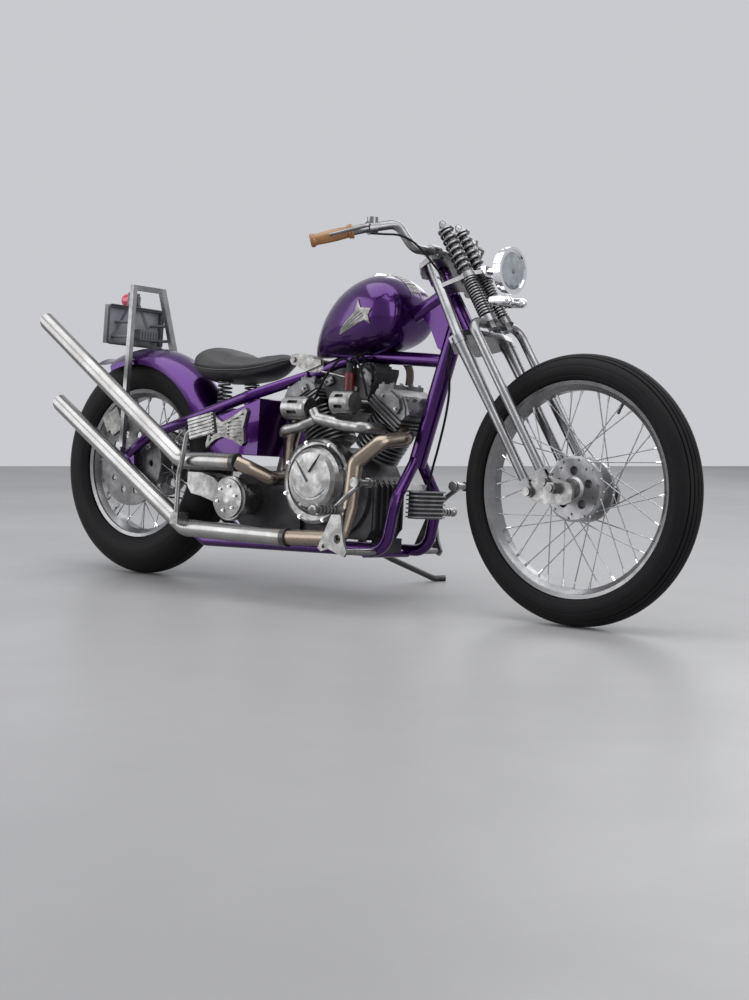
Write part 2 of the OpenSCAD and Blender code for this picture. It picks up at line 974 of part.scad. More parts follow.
module oil_cooler() {
    color("gray") {
        for (i = [0 : cooler_fins - 1])
            translate([290, -cooler_half, 244 + 11.5 * i])
                cube([42, 2 * cooler_half, 4]);
        translate([295, -cooler_half + 6, 241])
            cube([32, 2 * cooler_half - 12, 76]);
        difference() {
            translate([262, -9, 300])
                cube([46, 18, 34]);
            down_tube();
            both_sides()
                bent_bar(rail_path, rail_d + 1, 55);
        }
    }
}

belt_in = 71;
belt_out = 82;
belt_t = 5;
small_pulley_r = 38;
big_pulley_r = 102;
belt_gap = 0.3;

module belt_outline(extra) {
    hull() {
        translate([gear_shaft[0], gear_shaft[1]])
            circle(r = small_pulley_r + extra);
        translate([rear_axle.x, rear_axle.z])
            circle(r = big_pulley_r + extra);
    }
}

// The belt, a hair off both pulleys, with its front pulley
module drive_belt() {
    color([0.12, 0.12, 0.12]) {
        plate_y(belt_in, belt_out)
            difference() {
                belt_outline(belt_gap + belt_t);
                belt_outline(belt_gap);
            }
        drum_y(gear_shaft[0], gear_shaft[1], 69.2, belt_out + 3.8, 2 * small_pulley_r);
    }
}

// Route of the cable that runs down in front of the frame to the oil cooler
cable_route = [[387, -28, 752], [388, -29, 712], [385, -31, 676], [390, -30, 640], [391, -27, 584], [382, -27, 515],
    [362, -25, 436], [346, -20, 392], [330, -12, 352], [318, -8, 319]];

module frame_cable() {
    color("black")
        skin(sweep_rings(smooth(cable_route, 2), 7, 8));
}

/* ---- Foot controls and passenger pads ---- */

// Drawn for the right side; the left side's are mirror images, set in where no exhaust is in the way
control_in = 60;
hanger_in = 95;

module left_side(inset) {
    translate([0, -inset, 0])
        mirror([0, 1, 0])
            children();
}

module foot_peg() {
    along([197, -222, 256], [197, -340, 256]) {
        cylinder(h = 116, d = 18);
        for (i = [0 : 5])
            translate([0, 0, 22 + 14 * i])
                cylinder(h = 9, d = 26);
        translate([0, 0, 116])
            sphere(d = 28);
    }
}

// A cast plate on a bar from the frame, with the peg, the pedal and its lever; reach is where the bar starts
module foot_control(reach) {
    difference() {
        plate_y(-244, -236)
            polygon([[138, 150], [150, 142], [176, 150], [232, 132], [240, 146], [226, 176], [214, 240], [206, 268],
                [188, 268], [180, 240]]);
        drum_y(206, 178, -250, -230, 24);
        drum_y(158, 156, -250, -230, 11);
    }
    foot_peg();
    rod([225, -reach, 146], [225, -244, 146], 18);
    bent_bar([[197, -248, 262], [240, -248, 300], [288, -248, 333]], 14, 20);
    along([288, -208, 333], [288, -286, 333])
        for (ring = [[0, 78, 20], [0, 6, 27], [12, 8, 27], [58, 8, 27], [72, 6, 27]])
            translate([0, 0, ring[0]])
                cylinder(h = ring[1], d = ring[2]);
}

hanger_path = [[-352, -258, 458], [-376, -258, 438], [-386, -258, 380], [-400, -258, 325], [-402, -256, 206]];
pad_mid = [-310, -262, 465];
pad_tilt = 13;

module passenger_hanger(path) {
    bent_bar(path, 15, 20);
    translate(pad_mid)
        rotate([0, -pad_tilt, 0]) {
            translate([-50, -6, -30])
                cube([100, 12, 60]);
            for (i = [0 : 5])
                translate([-48, -11, -28 + 10 * i])
                    cube([96, 6, 5]);
        }
}

module foot_controls() {
    color("silver") {
        difference() {
            union() {
                foot_control(108);
                left_side(control_in)
                    foot_control(108 + control_in);
            }
            both_sides()
                bent_bar(rail_path, rail_d, 55);
        }
        passenger_hanger(hanger_path);
        difference() {
            translate([-418, -264, 178])
                cube([30, 44, 34]);
            bent_bar(lower_tail, pipe_d + 0.3, 60);
        }
        difference() {
            left_side(hanger_in)
                passenger_hanger(concat(hanger_path, [[-402, -205, 138]]));
            both_sides()
                bent_bar(rail_path, rail_d, 55);
        }
    }
}

/* ---- Wheels ---- */

// A round section outside the rim's lips, with a bead sunk between them
module tyre(r, w, rim_r, bead_half) {
    rotate([90, 0, 0])
        rotate_extrude($fn = 56)
            union() {
                difference() {
                    translate([r - w / 2, 0])
                        circle(d = w, $fn = 32);
                    translate([0, -w])
                        square([rim_r + 0.3, 2 * w]);
                }
                translate([rim_r - 6.7, -bead_half])
                    square([12, 2 * bead_half]);
            }
}

// A spoked wheel's rim: two lips, a drop centre and walls 5 thick
module rim(lip_r, half) {
    rotate([90, 0, 0])
        rotate_extrude()
            polygon([
                [lip_r - 26, -half * 0.45], [lip_r - 26, half * 0.45], [lip_r - 14, half * 0.8], [lip_r - 12, half - 4],
                [lip_r - 2, half], [lip_r, half - 2], [lip_r, half - 5], [lip_r - 7, half - 6], [lip_r - 8, half * 0.75],
                [lip_r - 21, half * 0.4], [lip_r - 21, -half * 0.4], [lip_r - 8, -half * 0.75], [lip_r - 7, 6 - half],
                [lip_r, 5 - half], [lip_r, 2 - half], [lip_r - 2, -half], [lip_r - 12, 4 - half], [lip_r - 14, -half * 0.8]]);
}

// Crossed spokes from two hub flanges at y = sides; leading and trailing ones leave either edge of the flange
spoke_d = 3.2;
spoke_swing = 38;

module spokes(inner_r, outer_r, sides, rim_y) {
    for (i = [0 : spoke_count - 1]) {
        y = sides[i % 2];
        swing = (i % 4 < 2) ? 1 : -1;
        a = 360 * i / spoke_count;
        rod([inner_r * cos(a - swing * spoke_swing), y + 4 * swing, inner_r * sin(a - swing * spoke_swing)],
            [outer_r * cos(a), sign(y) * rim_y, outer_r * sin(a)], spoke_d);
    }
}

module front_tyre() {
    color([0.08, 0.08, 0.08])
        translate(front_axle)
            tyre(front_r, front_w, front_rim_r, 23.8);
}

module front_rim() {
    color("silver")
        translate(front_axle)
            rim(front_rim_r, 30);
}

front_flange_r = 84;
rear_flange_r = 64;

module front_spokes() {
    color("silver")
        translate(front_axle)
            spokes(front_flange_r + 1.3, front_rim_r - 26.2, [-22, 32], 6);
}

// A drum hub between two flanges, with five round openings in its right face
module front_hub() {
    color("silver")
        translate(front_axle)
            rotate([90, 0, 0])
                difference() {
                    rotate_extrude()
                        polygon([[0, -52], [30, -52], [32, -38], [60, -38], [front_flange_r, -38], [front_flange_r, -26],
                            [72, -24], [72, 14], [front_flange_r, 16], [front_flange_r, 28], [78, 30], [32, 30], [26, 36],
                            [24, 52], [0, 52]]);
                    translate([0, 0, -60])
                        cylinder(h = 120, d = axle_bore);
                    for (i = [0 : 4])
                        rotate([0, 0, 72 * i + 18])
                            translate([47, 0, 8])
                                cylinder(h = 40, d = 23);
                    for (i = [0 : 4])
                        rotate([0, 0, 72 * i + 54])
                            translate([64, 0, 26])
                                cylinder(h = 40, d = 7, $fn = 16);
                }
}

module rear_tyre() {
    color([0.08, 0.08, 0.08])
        translate(rear_axle)
            tyre(rear_r, rear_w, rear_rim_r, 37.8);
}

module rear_rim() {
    color("silver")
        translate(rear_axle)
            rim(rear_rim_r, 44);
}

module rear_spokes() {
    color("silver")
        translate(rear_axle)
            spokes(rear_flange_r + 1.3, rear_rim_r - 26.2, [-40, 40], 10);
}

// Hub with two flanges, the brake disc on the right and the belt pulley on the left
module rear_hub() {
    color("silver")
        translate(rear_axle)
            rotate([90, 0, 0])
                difference() {
                    union() {
                        rotate_extrude()
                            polygon([[0, -belt_out], [45, -belt_out], [45, -68], [38, -64], [38, -50], [rear_flange_r, -46],
                                [rear_flange_r, -34], [36, -26], [36, 26], [rear_flange_r, 34], [rear_flange_r, 46], [40, 52],
                                [40, 72], [60, 72], [60, 80], [30, 84], [0, 84]]);
                        translate([0, 0, -belt_out])
                            difference() {
                                cylinder(h = belt_out - belt_in, r = big_pulley_r);
                                for (i = [0 : 5])
                                    rotate([0, 0, 60 * i])
                                        translate([70, 0, -1])
                                            cylinder(h = 20, d = 34);
                            }
                        translate([0, 0, 72])
                            difference() {
                                cylinder(h = 6, r = disc_r);
                                for (i = [0 : 9])
                                    rotate([0, 0, 36 * i])
                                        translate([disc_r - 45, 0, -1])
                                            cylinder(h = 8, d = 22);
                            }
                    }
                    translate([0, 0, -100])
                        cylinder(h = 200, d = axle_bore);
                }
}

module hex_nut(y, side, d = 32) {
    translate([0, y, 0])
        rotate([side * 90, 0, 0])
            cylinder(h = 14, d = d, $fn = 6);
}

caliper_mid = [-880, 475];

// The rear axle with its nuts and spacers, and the brake caliper on its bracket
module rear_axle_set() {
    color("silver") {
        translate(rear_axle)
            difference() {
                union() {
                    drum_y(0, 0, -134, 134, axle_d);
                    drum_y(0, 0, -100, -87, 34);
                    drum_y(0, 0, 87, 100, 34);
                    hex_nut(-110, 1);
                    hex_nut(110, -1);
                    drum_y(0, 0, -128, -122, 26);
                }
            }
        difference() {
            union() {
                plate_y(-100, -90)
                    polygon([[-828, 376], [-790, 384], [-836, 470], [-862, 508], [-902, 482], [-890, 446]]);
                translate([caliper_mid[0], 0, caliper_mid[1]])
                    rotate([0, -30, 0])
                        translate([-36, -100, -24])
                            cube([72, 44, 52]);
            }
            drum_y(rear_axle.x, rear_axle.z, -83, -67, 2 * disc_r + 14);
            drum_y(rear_axle.x, rear_axle.z, -120, -50, 2 * disc_r - 60);
        }
    }
}

/* ---- Springer fork, in its own frame ---- */

axle_ahead = 107;
axle_down = 670.5;
rear_leg_x = 36;
front_leg_x = 90;
leg_y = 110;
leg_top_y = 75;
collar_z = -180;
spring_x = 99;
spring_y = 37;
tree_top = 84;
tree_t = 14;
perch_z = -18;
perch_t = 12;
yoke_z = -155;
leg_end = -613;
pivot_rear = [35.5, -640];
pivot_front = [90, -643];
rocker_in = 104;
rocker_out = 116;
eye_d = 30;
pivot_d = 12;

module tree_plate(half, edge_x) {
    polygon([[-30, -half * 0.45], [-30, half * 0.45], [12, half], [edge_x, half], [64, half * 0.55], [64, -half * 0.55],
        [edge_x, -half], [12, -half]]);
}

// The forked eye at a leg's foot, which takes the rocker between its cheeks
module leg_eye(pivot) {
    difference() {
        union() {
            drum_y(pivot[0], pivot[1], -leg_y - leg_d / 2, -leg_y + leg_d / 2, eye_d);
            translate([pivot[0] - leg_d / 2, -leg_y - leg_d / 2, pivot[1]])
                cube([leg_d, leg_d, leg_end + 6 - pivot[1]]);
        }
        translate([pivot[0] - 40, -rocker_out - 0.3, pivot[1] - 40])
            cube([80, rocker_out - rocker_in + 0.6, leg_end + 40 - pivot[1]]);
        drum_y(pivot[0], pivot[1], -140, -80, pivot_d + 0.1);
    }
}

module fork_rear_legs() {
    color("silver")
        in_fork() {
            translate([0, 0, collar_z + 8])
                cylinder(h = tree_top - collar_z + 6, d = stem_d);
            translate([0, 0, tree_top])
                cylinder(h = 14, d = 42, $fn = 6);
            both_sides() {
                rod([rear_leg_x, -leg_top_y - 1.8, tree_top], [rear_leg_x, -leg_y, collar_z], 29);
                translate([rear_leg_x, -leg_y, collar_z - 11])
                    cylinder(h = 22, d = 40);
                translate([rear_leg_x, -leg_y, -390])
                    cylinder(h = 390 + collar_z - 10, d1 = leg_d + 1, d2 = 37);
                translate([rear_leg_x, -leg_y, leg_end])
                    cylinder(h = -389 - leg_end, d = leg_d);
                leg_eye(pivot_rear);
            }
            translate([0, 0, tree_top - tree_t])
                linear_extrude(tree_t)
                    tree_plate(96, 56);
            translate([0, 0, collar_z + 2])
                linear_extrude(18)
                    tree_plate(120, 54);
            spring_perch();
            both_sides()
                bar_riser();
        }
}

// The plate that both springs bear on, carried by the rear legs round the front of the head tube
module spring_perch() {
    translate([0, 0, perch_z])
        linear_extrude(perch_t)
            difference() {
                union() {
                    for (y = [-spring_y, spring_y])
                        translate([spring_x, y])
                            circle(r = 25);
                    polygon([[24, -96], [50, -98], [118, -50], [134, -18], [134, 18], [118, 50], [50, 98], [24, 96]]);
                }
                circle(r = 44);
                for (y = [-spring_y, spring_y])
                    translate([spring_x, y])
                        circle(d = rod_d + 0.2);
            }
}

rod_d = 16;
bar_mid = [43.85, 106.05];
riser_y = 55;

module bar_riser() {
    difference() {
        union() {
            translate([bar_mid[0], -riser_y, tree_top - 1])
                cylinder(h = bar_mid[1] - tree_top, d = 32);
            drum_y(bar_mid[0], bar_mid[1], -riser_y - 17, -riser_y + 17, 42);
        }
        drum_y(bar_mid[0], bar_mid[1], -100, 0, bar_d + 0.1);
    }
}

front_leg_path = [[front_leg_x, -leg_y, leg_end], [front_leg_x, -leg_y, yoke_z], [front_leg_x, leg_y, yoke_z],
    [front_leg_x, leg_y, leg_end]];

module fork_front_legs() {
    color("silver")
        in_fork() {
            bent_bar(front_leg_path, leg_d, 38);
            both_sides() {
                leg_eye(pivot_front);
                translate([spring_x, -spring_y, yoke_z - 6])
                    cylinder(h = 20, d = 46);
                translate([spring_x, -spring_y, yoke_z - 24])
                    cylinder(h = 18, d = 26, $fn = 6);
            }
        }
}

lower_from = -141;
lower_to = -24;
upper_from = 0;
upper_to = 142;

// Guide rods through the perch, a fine spring below it and a coarse one above, and acorn nuts
module fork_springs() {
    color("silver")
        in_fork()
            for (y = [-spring_y, spring_y])
                translate([spring_x, y, 0]) {
                    translate([0, 0, lower_from])
                        cylinder(h = upper_to + 14 - lower_from, d = rod_d);
                    translate([0, 0, lower_from])
                        coil(lower_turns, lower_to - lower_from, 39, 5.6, 12, 6);
                    translate([0, 0, lower_to])
                        washer(44);
                    translate([0, 0, upper_from - 6])
                        washer(46);
                    translate([0, 0, upper_from])
                        coil(upper_turns, upper_to - upper_from, 45, 8, 12, 6);
                    translate([0, 0, upper_to])
                        washer(46);
                    translate([0, 0, upper_to + 6])
                        difference() {
                            union() {
                                cylinder(h = 12, d = 28, $fn = 6);
                                translate([0, 0, 11])
                                    cylinder(h = 7, d = 24);
                                translate([0, 0, 18])
                                    sphere(d = 22);
                            }
                            translate([0, 0, -1])
                                cylinder(h = 9.1, d = rod_d + 0.1);
                        }
                }
}

module washer(d) {
    difference() {
        cylinder(h = 6, d = d);
        translate([0, 0, -1])
            cylinder(h = 8, d = rod_d + 0.1);
    }
}

rocker_outline = [[20, -628], [36, -619], [96, -624], [152, -682], [150, -702], [132, -724], [110, -720], [52, -684],
    [21, -654]];

// Rockers with their pivot pins, and the front axle with its spacers and nuts
module rockers() {
    color("silver") {
        in_fork()
            both_sides() {
                plate_y(-rocker_out, -rocker_in)
                    polygon(rocker_outline);
                for (p = [pivot_rear, pivot_front])
                    translate([p[0], 0, p[1]]) {
                        drum_y(0, 0, -leg_y - leg_d / 2 - 3, -leg_y + leg_d / 2 + 3, pivot_d);
                        drum_y(0, 0, -leg_y - leg_d / 2 - 9, -leg_y - leg_d / 2, 22);
                        drum_y(0, 0, -leg_y + leg_d / 2, -leg_y + leg_d / 2 + 6, 20);
                    }
            }
        translate(front_axle) {
            drum_y(0, 0, -144, 144, axle_d);
            for (side = [0, 180])
                rotate([0, 0, side]) {
                    drum_y(0, 0, -rocker_in, -57, 27);
                    drum_y(0, 0, -125, -rocker_out, 27);
                    hex_nut(-124.5, 1);
                }
        }
    }
}

bar_half = [[333, 145, 970], [290, 165, 1036], [239, 260, 1010], [143, 339, 973]];
bar_path = concat(reversed(bar_half), mirror_y(bar_half));

// The bar, with a clamp, a fluid cup and a lever inboard of each grip
module handlebar() {
    color("silver") {
        bent_bar(bar_path, bar_d, 30);
        both_sides() {
            along([263, -215, 1022], [239, -260, 1010])
                translate([0, 0, 6])
                    cylinder(h = 24, d = 36);
            translate([256, -230, 1022])
                cylinder(h = 24, d = 30);
            bent_bar([[252, -236, 1034], [272, -262, 1020], [196, -336, 986]], 9, 12);
        }
    }
}

module grips() {
    color("saddlebrown")
        both_sides()
            along([143, -339, 973], [239, -260, 1010])
                difference() {
                    translate([0, 0, -8])
                        rotate_extrude()
                            polygon([[0, 0], [15, 0], [19, 4], [19, 10], [16.5, 16], [16.5, 104], [17.5, 112], [21, 115],
                                [21, 119], [0, 119]]);
                    cylinder(h = 140, d = bar_d + 0.1);
                }
}

lamp_mid = [563, 0, 920];
lamp_r = 62;

module lamp_profile(r, back, front) {
    union() {
        intersection() {
            translate([0, back + r])
                circle(r = r);
            square([r, back + r]);
        }
        translate([0, back + r - 1])
            square([r, front - back - r + 1]);
    }
}

module headlight() {
    color("silver") {
        translate([lamp_mid.x, 0, lamp_mid.z])
            rotate([0, 90, 0]) {
                rotate_extrude()
                    difference() {
                        union() {
                            lamp_profile(lamp_r - 2, -83, 0);
                            translate([lamp_r - 6, -10])
                                square([8, 12]);
                        }
                        lamp_profile(lamp_r - 6, -78, 3);
                    }
                // lens
                translate([0, 0, -5])
                    cylinder(h = 4, r = lamp_r - 5.5);
                translate([0, 0, -79])
                    cylinder(h = 26, d = 20);
                translate([0, 0, -54])
                    sphere(d = 24);
            }
        difference() {
            translate([466, -14, lamp_mid.z - 14])
                cube([24, 28, 28]);
            translate([lamp_mid.x, 0, lamp_mid.z])
                rotate([0, 90, 0])
                    translate([0, 0, -83])
                        rotate_extrude()
                            lamp_profile(lamp_r - 2, 0, 83);
            in_fork()
                translate([40, -60, perch_z])
                    cube([94, 120, perch_t]);
        }
        rod([548, 0, 836], [548, 0, 861.5], 12);
        rod([548, -34, 836], [548, 34, 836], 9);
        both_sides()
            translate([0, -34, 836])
                turn_lamp();
    }
}

// A small bullet lamp with a round opening at its rear end
module turn_lamp() {
    translate([522, 0, 0])
        rotate([0, 90, 0])
            difference() {
                union() {
                    cylinder(h = 52, d = 27);
                    translate([0, 0, 52])
                        sphere(d = 27);
                }
                translate([0, 0, -1])
                    cylinder(h = 18, d = 20);
            }
}

// Route of the lever's cable, in the fork's frame
lever_route = [[5, -250, 165], [25, -224, 153], [49, -190, 138], [62, -160, 111], [65, -136, 75], [64, -114, 36], [58, -92, 18], [58, -88, -4.6]];

module bar_cable() {
    color("black")
        in_fork()
            skin(sweep_rings(smooth(lever_route, 2), 6, 8));
}

/* ---- Side stand ---- */

stand_foot = [30, 425, 46.2];
stand_tip = [54, 452, 48.4];
stand_d = 18;

module side_stand() {
    color("black")
        difference() {
            union() {
                at_stand()
                    translate([0, 0, -stand_boss_h / 2])
                        cylinder(h = stand_boss_h, d = 27);
                bent_bar([stand_pivot, [4, 250, 104], stand_foot, stand_tip], stand_d, 24);
            }
            at_stand() {
                translate([0, 0, -40])
                    cylinder(h = 80, d = stand_pin_d + 0.1);
                for (z = [stand_boss_h / 2, -stand_boss_h / 2 - 30])
                    translate([0, 0, z])
                        cylinder(h = 30, d = 40);
            }
        }
}

parked() {
    frame_front();
    frame_cradle();
    frame_rear();
    fuel_tank();
    chrome_trim();
    seat();
    seat_springs();
    seat_hinge();
    rear_fender();
    sissy_bar();
    plate_holder();
    tail_lamp();
    side_box();
    crankcase();
    engine_covers();
    barrels();
    heads();
    air_box();
    ignition_coil();
    intake();
    fuel_hose();
    exhaust_upper();
    exhaust_lower();
    oil_cooler();
    drive_belt();
    frame_cable();
    foot_controls();
    rear_axle_set();
    fork_rear_legs();
    fork_front_legs();
    fork_springs();
    rockers();
    handlebar();
    grips();
    headlight();
    bar_cable();
    front_tyre();
    front_rim();
    front_spokes();
    front_hub();
    rear_tyre();
    rear_rim();
    rear_spokes();
    rear_hub();
    side_stand();
}
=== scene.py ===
import json
import math

import bmesh
import bpy
from mathutils import Matrix, Vector


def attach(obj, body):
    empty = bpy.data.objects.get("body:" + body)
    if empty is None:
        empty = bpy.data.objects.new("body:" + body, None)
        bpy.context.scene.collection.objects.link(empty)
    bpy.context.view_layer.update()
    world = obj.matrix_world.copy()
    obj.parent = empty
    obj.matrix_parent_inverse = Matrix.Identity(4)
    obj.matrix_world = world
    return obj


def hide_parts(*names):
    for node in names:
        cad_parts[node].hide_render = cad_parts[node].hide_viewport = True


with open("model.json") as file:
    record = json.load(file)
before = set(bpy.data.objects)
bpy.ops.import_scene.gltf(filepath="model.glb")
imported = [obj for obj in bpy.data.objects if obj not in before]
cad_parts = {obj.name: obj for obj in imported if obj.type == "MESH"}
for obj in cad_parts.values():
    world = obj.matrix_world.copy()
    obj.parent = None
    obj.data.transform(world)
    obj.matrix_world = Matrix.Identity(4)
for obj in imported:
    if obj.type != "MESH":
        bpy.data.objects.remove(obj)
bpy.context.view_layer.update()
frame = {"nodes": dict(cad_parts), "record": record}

bl_info = {
    "name": "Chopper motorcycle dress",
    "version": (1, 0, 0),
    "blender": (4, 5, 0),
    "location": "View3D > Sidebar > Chopper",
    "description": "Gives the chopper's solids their materials and adds its fine pieces",
    "category": "Object",
}

NODES = frame["nodes"]

# Where the upright machine stands: sideways shift, lift and lean, and the fork's own frame (millimetres and degrees)
PARK_Y = -66.0
DROP = 66.0 * (1 - math.cos(math.radians(5)))
LEAN = 5.0
NECK = (353.0, 0.0, 857.0)
RAKE = 32.5
MM = Matrix.Scale(0.001, 4)
BIKE = MM @ Matrix.Translation((0, PARK_Y, DROP)) @ Matrix.Rotation(math.radians(-LEAN), 4, "X")
FORK = BIKE @ Matrix.Translation(NECK) @ Matrix.Rotation(math.radians(-RAKE), 4, "Y")
FRONT_AXLE = (803.5, 0.0, 349.0)
REAR_AXLE = (-803.5, 0.0, 346.0)


# ---------------------------------------------------------------- Sizes and colours

class ChopperColours(bpy.types.PropertyGroup):
    candy: bpy.props.FloatVectorProperty(name="Candy paint", description="Colour of the frame, tank, fender and box",
        subtype="COLOR", size=3, default=(0.043, 0.0019, 0.094), min=0, max=1)
    chrome: bpy.props.FloatVectorProperty(name="Chrome", description="Tint of the bright metal",
        subtype="COLOR", size=3, default=(0.32, 0.32, 0.33), min=0, max=1)
    leather: bpy.props.FloatVectorProperty(name="Leather", description="Colour of the seat",
        subtype="COLOR", size=3, default=(0.022, 0.022, 0.024), min=0, max=1)
    rubber: bpy.props.FloatVectorProperty(name="Rubber", description="Colour of the tyres, belt and cables",
        subtype="COLOR", size=3, default=(0.006, 0.006, 0.007), min=0, max=1)
    grip: bpy.props.FloatVectorProperty(name="Grips", description="Colour of the handlebar grips",
        subtype="COLOR", size=3, default=(0.36, 0.17, 0.06), min=0, max=1)
    lamp: bpy.props.FloatVectorProperty(name="Tail lamp", description="Colour of the tail lamp's lens",
        subtype="COLOR", size=3, default=(0.62, 0.01, 0.05), min=0, max=1)


class ChopperSizes(bpy.types.PropertyGroup):
    spring_wire: bpy.props.FloatProperty(name="Fork spring wire", description="Thickness of the coarse fork springs",
        unit="LENGTH", default=0.008, min=0.005, max=0.009)
    seam: bpy.props.FloatProperty(name="Seat piping", description="Thickness of the piping round the seat",
        unit="LENGTH", default=0.007, min=0.004, max=0.010)
    tread_depth: bpy.props.FloatProperty(name="Tread depth", description="Depth of the tyres' grooves",
        unit="LENGTH", default=0.0035, min=0.001, max=0.006)
    bolt: bpy.props.FloatProperty(name="Bolt heads", description="Width of the cover bolts' heads",
        unit="LENGTH", default=0.012, min=0.008, max=0.016)


def colours():
    return bpy.context.scene.chopper_colours


def sizes():
    return bpy.context.scene.chopper_sizes


# ---------------------------------------------------------------- Shader helpers

def node(tree, kind, **values):
    n = tree.nodes.new(kind)
    for k, v in values.items():
        setattr(n, k, v)
    return n


def group_mottle():
    """Mottled colour, mottled roughness and a fine height, all by the object's own coordinates."""
    name = "Mottle"
    if name in bpy.data.node_groups:
        return bpy.data.node_groups[name]
    g = bpy.data.node_groups.new(name, "ShaderNodeTree")
    for label, kind, value in (
            ("Colour", "NodeSocketColor", (0.5, 0.5, 0.5, 1)),
            ("Other colour", "NodeSocketColor", (0.4, 0.4, 0.4, 1)),
            ("Scale", "NodeSocketFloat", 10.0),
            ("Low", "NodeSocketFloat", 0.1),
            ("High", "NodeSocketFloat", 0.2),
            ("Fine scale", "NodeSocketFloat", 300.0)):
        g.interface.new_socket(name=label, in_out="INPUT", socket_type=kind).default_value = value
    for label, kind in (("Colour", "NodeSocketColor"), ("Roughness", "NodeSocketFloat"), ("Height", "NodeSocketFloat")):
        g.interface.new_socket(name=label, in_out="OUTPUT", socket_type=kind)
    i, o = node(g, "NodeGroupInput"), node(g, "NodeGroupOutput")
    place = node(g, "ShaderNodeTexCoord")
    big = node(g, "ShaderNodeTexNoise")
    big.inputs["Detail"].default_value = 5
    big.inputs["Roughness"].default_value = 0.6
    fine = node(g, "ShaderNodeTexNoise")
    fine.inputs["Detail"].default_value = 3
    spread = node(g, "ShaderNodeMapRange")
    spread.inputs["From Min"].default_value = 0.35
    spread.inputs["From Max"].default_value = 0.65
    mix = node(g, "ShaderNodeMix", data_type="RGBA")
    rough = node(g, "ShaderNodeMapRange")
    rough.inputs["From Min"].default_value = 0.3
    rough.inputs["From Max"].default_value = 0.7
    L = g.links.new
    L(place.outputs["Object"], big.inputs["Vector"])
    L(place.outputs["Object"], fine.inputs["Vector"])
    L(i.outputs["Scale"], big.inputs["Scale"])
    L(i.outputs["Fine scale"], fine.inputs["Scale"])
    L(big.outputs["Fac"], spread.inputs["Value"])
    L(spread.outputs["Result"], mix.inputs["Factor"])
    L(i.outputs["Colour"], mix.inputs["A"])
    L(i.outputs["Other colour"], mix.inputs["B"])
    L(big.outputs["Fac"], rough.inputs["Value"])
    L(i.outputs["Low"], rough.inputs["To Min"])
    L(i.outputs["High"], rough.inputs["To Max"])
    L(mix.outputs["Result"], o.inputs["Colour"])
    L(rough.outputs["Result"], o.inputs["Roughness"])
    L(fine.outputs["Fac"], o.inputs["Height"])
    return g


def rgba(colour):
    return tuple(colour[:3]) + (1.0,)


def mottled(name, colour, other, low, high, scale, fine, bump=0.0, distance=0.001, metal=0.0, **sockets):
    """A material mottled by the shared group. sockets are uniform values on the shader itself."""
    if name in bpy.data.materials:
        return bpy.data.materials[name]
    m = bpy.data.materials.new(name)
    m.use_nodes = True
    t = m.node_tree
    shader = t.nodes["Principled BSDF"]
    g = node(t, "ShaderNodeGroup")
    g.node_tree = group_mottle()
    g.inputs["Colour"].default_value = rgba(colour)
    g.inputs["Other colour"].default_value = rgba(other)
    g.inputs["Scale"].default_value = scale
    g.inputs["Low"].default_value = low
    g.inputs["High"].default_value = high
    g.inputs["Fine scale"].default_value = fine
    t.links.new(g.outputs["Colour"], shader.inputs["Base Color"])
    t.links.new(g.outputs["Roughness"], shader.inputs["Roughness"])
    if bump:
        b = node(t, "ShaderNodeBump")
        b.inputs["Strength"].default_value = bump
        b.inputs["Distance"].default_value = distance
        t.links.new(g.outputs["Height"], b.inputs["Height"])
        t.links.new(b.outputs["Normal"], shader.inputs["Normal"])
    shader.inputs["Metallic"].default_value = metal
    for k, v in sockets.items():
        shader.inputs[k.replace("_", " ")].default_value = v
    return m


def group_tint():
    """A colour that turns to another one ahead of a place along x, by the object's own coordinates."""
    name = "Tint ahead"
    if name in bpy.data.node_groups:
        return bpy.data.node_groups[name]
    g = bpy.data.node_groups.new(name, "ShaderNodeTree")
    for label, kind, value in (
            ("Colour", "NodeSocketColor", (0.5, 0.5, 0.5, 1)),
            ("Tint", "NodeSocketColor", (0.4, 0.3, 0.2, 1)),
            ("From", "NodeSocketFloat", 0.0),
            ("To", "NodeSocketFloat", 0.1)):
        g.interface.new_socket(name=label, in_out="INPUT", socket_type=kind).default_value = value
    g.interface.new_socket(name="Colour", in_out="OUTPUT", socket_type="NodeSocketColor")
    i, o = node(g, "NodeGroupInput"), node(g, "NodeGroupOutput")
    place = node(g, "ShaderNodeTexCoord")
    split = node(g, "ShaderNodeSeparateXYZ")
    near = node(g, "ShaderNodeMapRange")
    mix = node(g, "ShaderNodeMix", data_type="RGBA")
    L = g.links.new
    L(place.outputs["Object"], split.inputs["Vector"])
    L(split.outputs["X"], near.inputs["Value"])
    L(i.outputs["From"], near.inputs["From Min"])
    L(i.outputs["To"], near.inputs["From Max"])
    L(near.outputs["Result"], mix.inputs["Factor"])
    L(i.outputs["Colour"], mix.inputs["A"])
    L(i.outputs["Tint"], mix.inputs["B"])
    L(mix.outputs["Result"], o.inputs["Colour"])
    return g


def tint_ahead(material, x, width, tint):
    """Puts the shared tint group between a material's colour and its shader."""
    t = material.node_tree
    shader = t.nodes["Principled BSDF"]
    source = shader.inputs["Base Color"].links[0].from_socket
    g = node(t, "ShaderNodeGroup")
    g.node_tree = group_tint()
    g.inputs["Tint"].default_value = rgba(tint)
    g.inputs["From"].default_value = x - width
    g.inputs["To"].default_value = x + width
    t.links.new(source, g.inputs["Colour"])
    t.links.new(g.outputs["Colour"], shader.inputs["Base Color"])


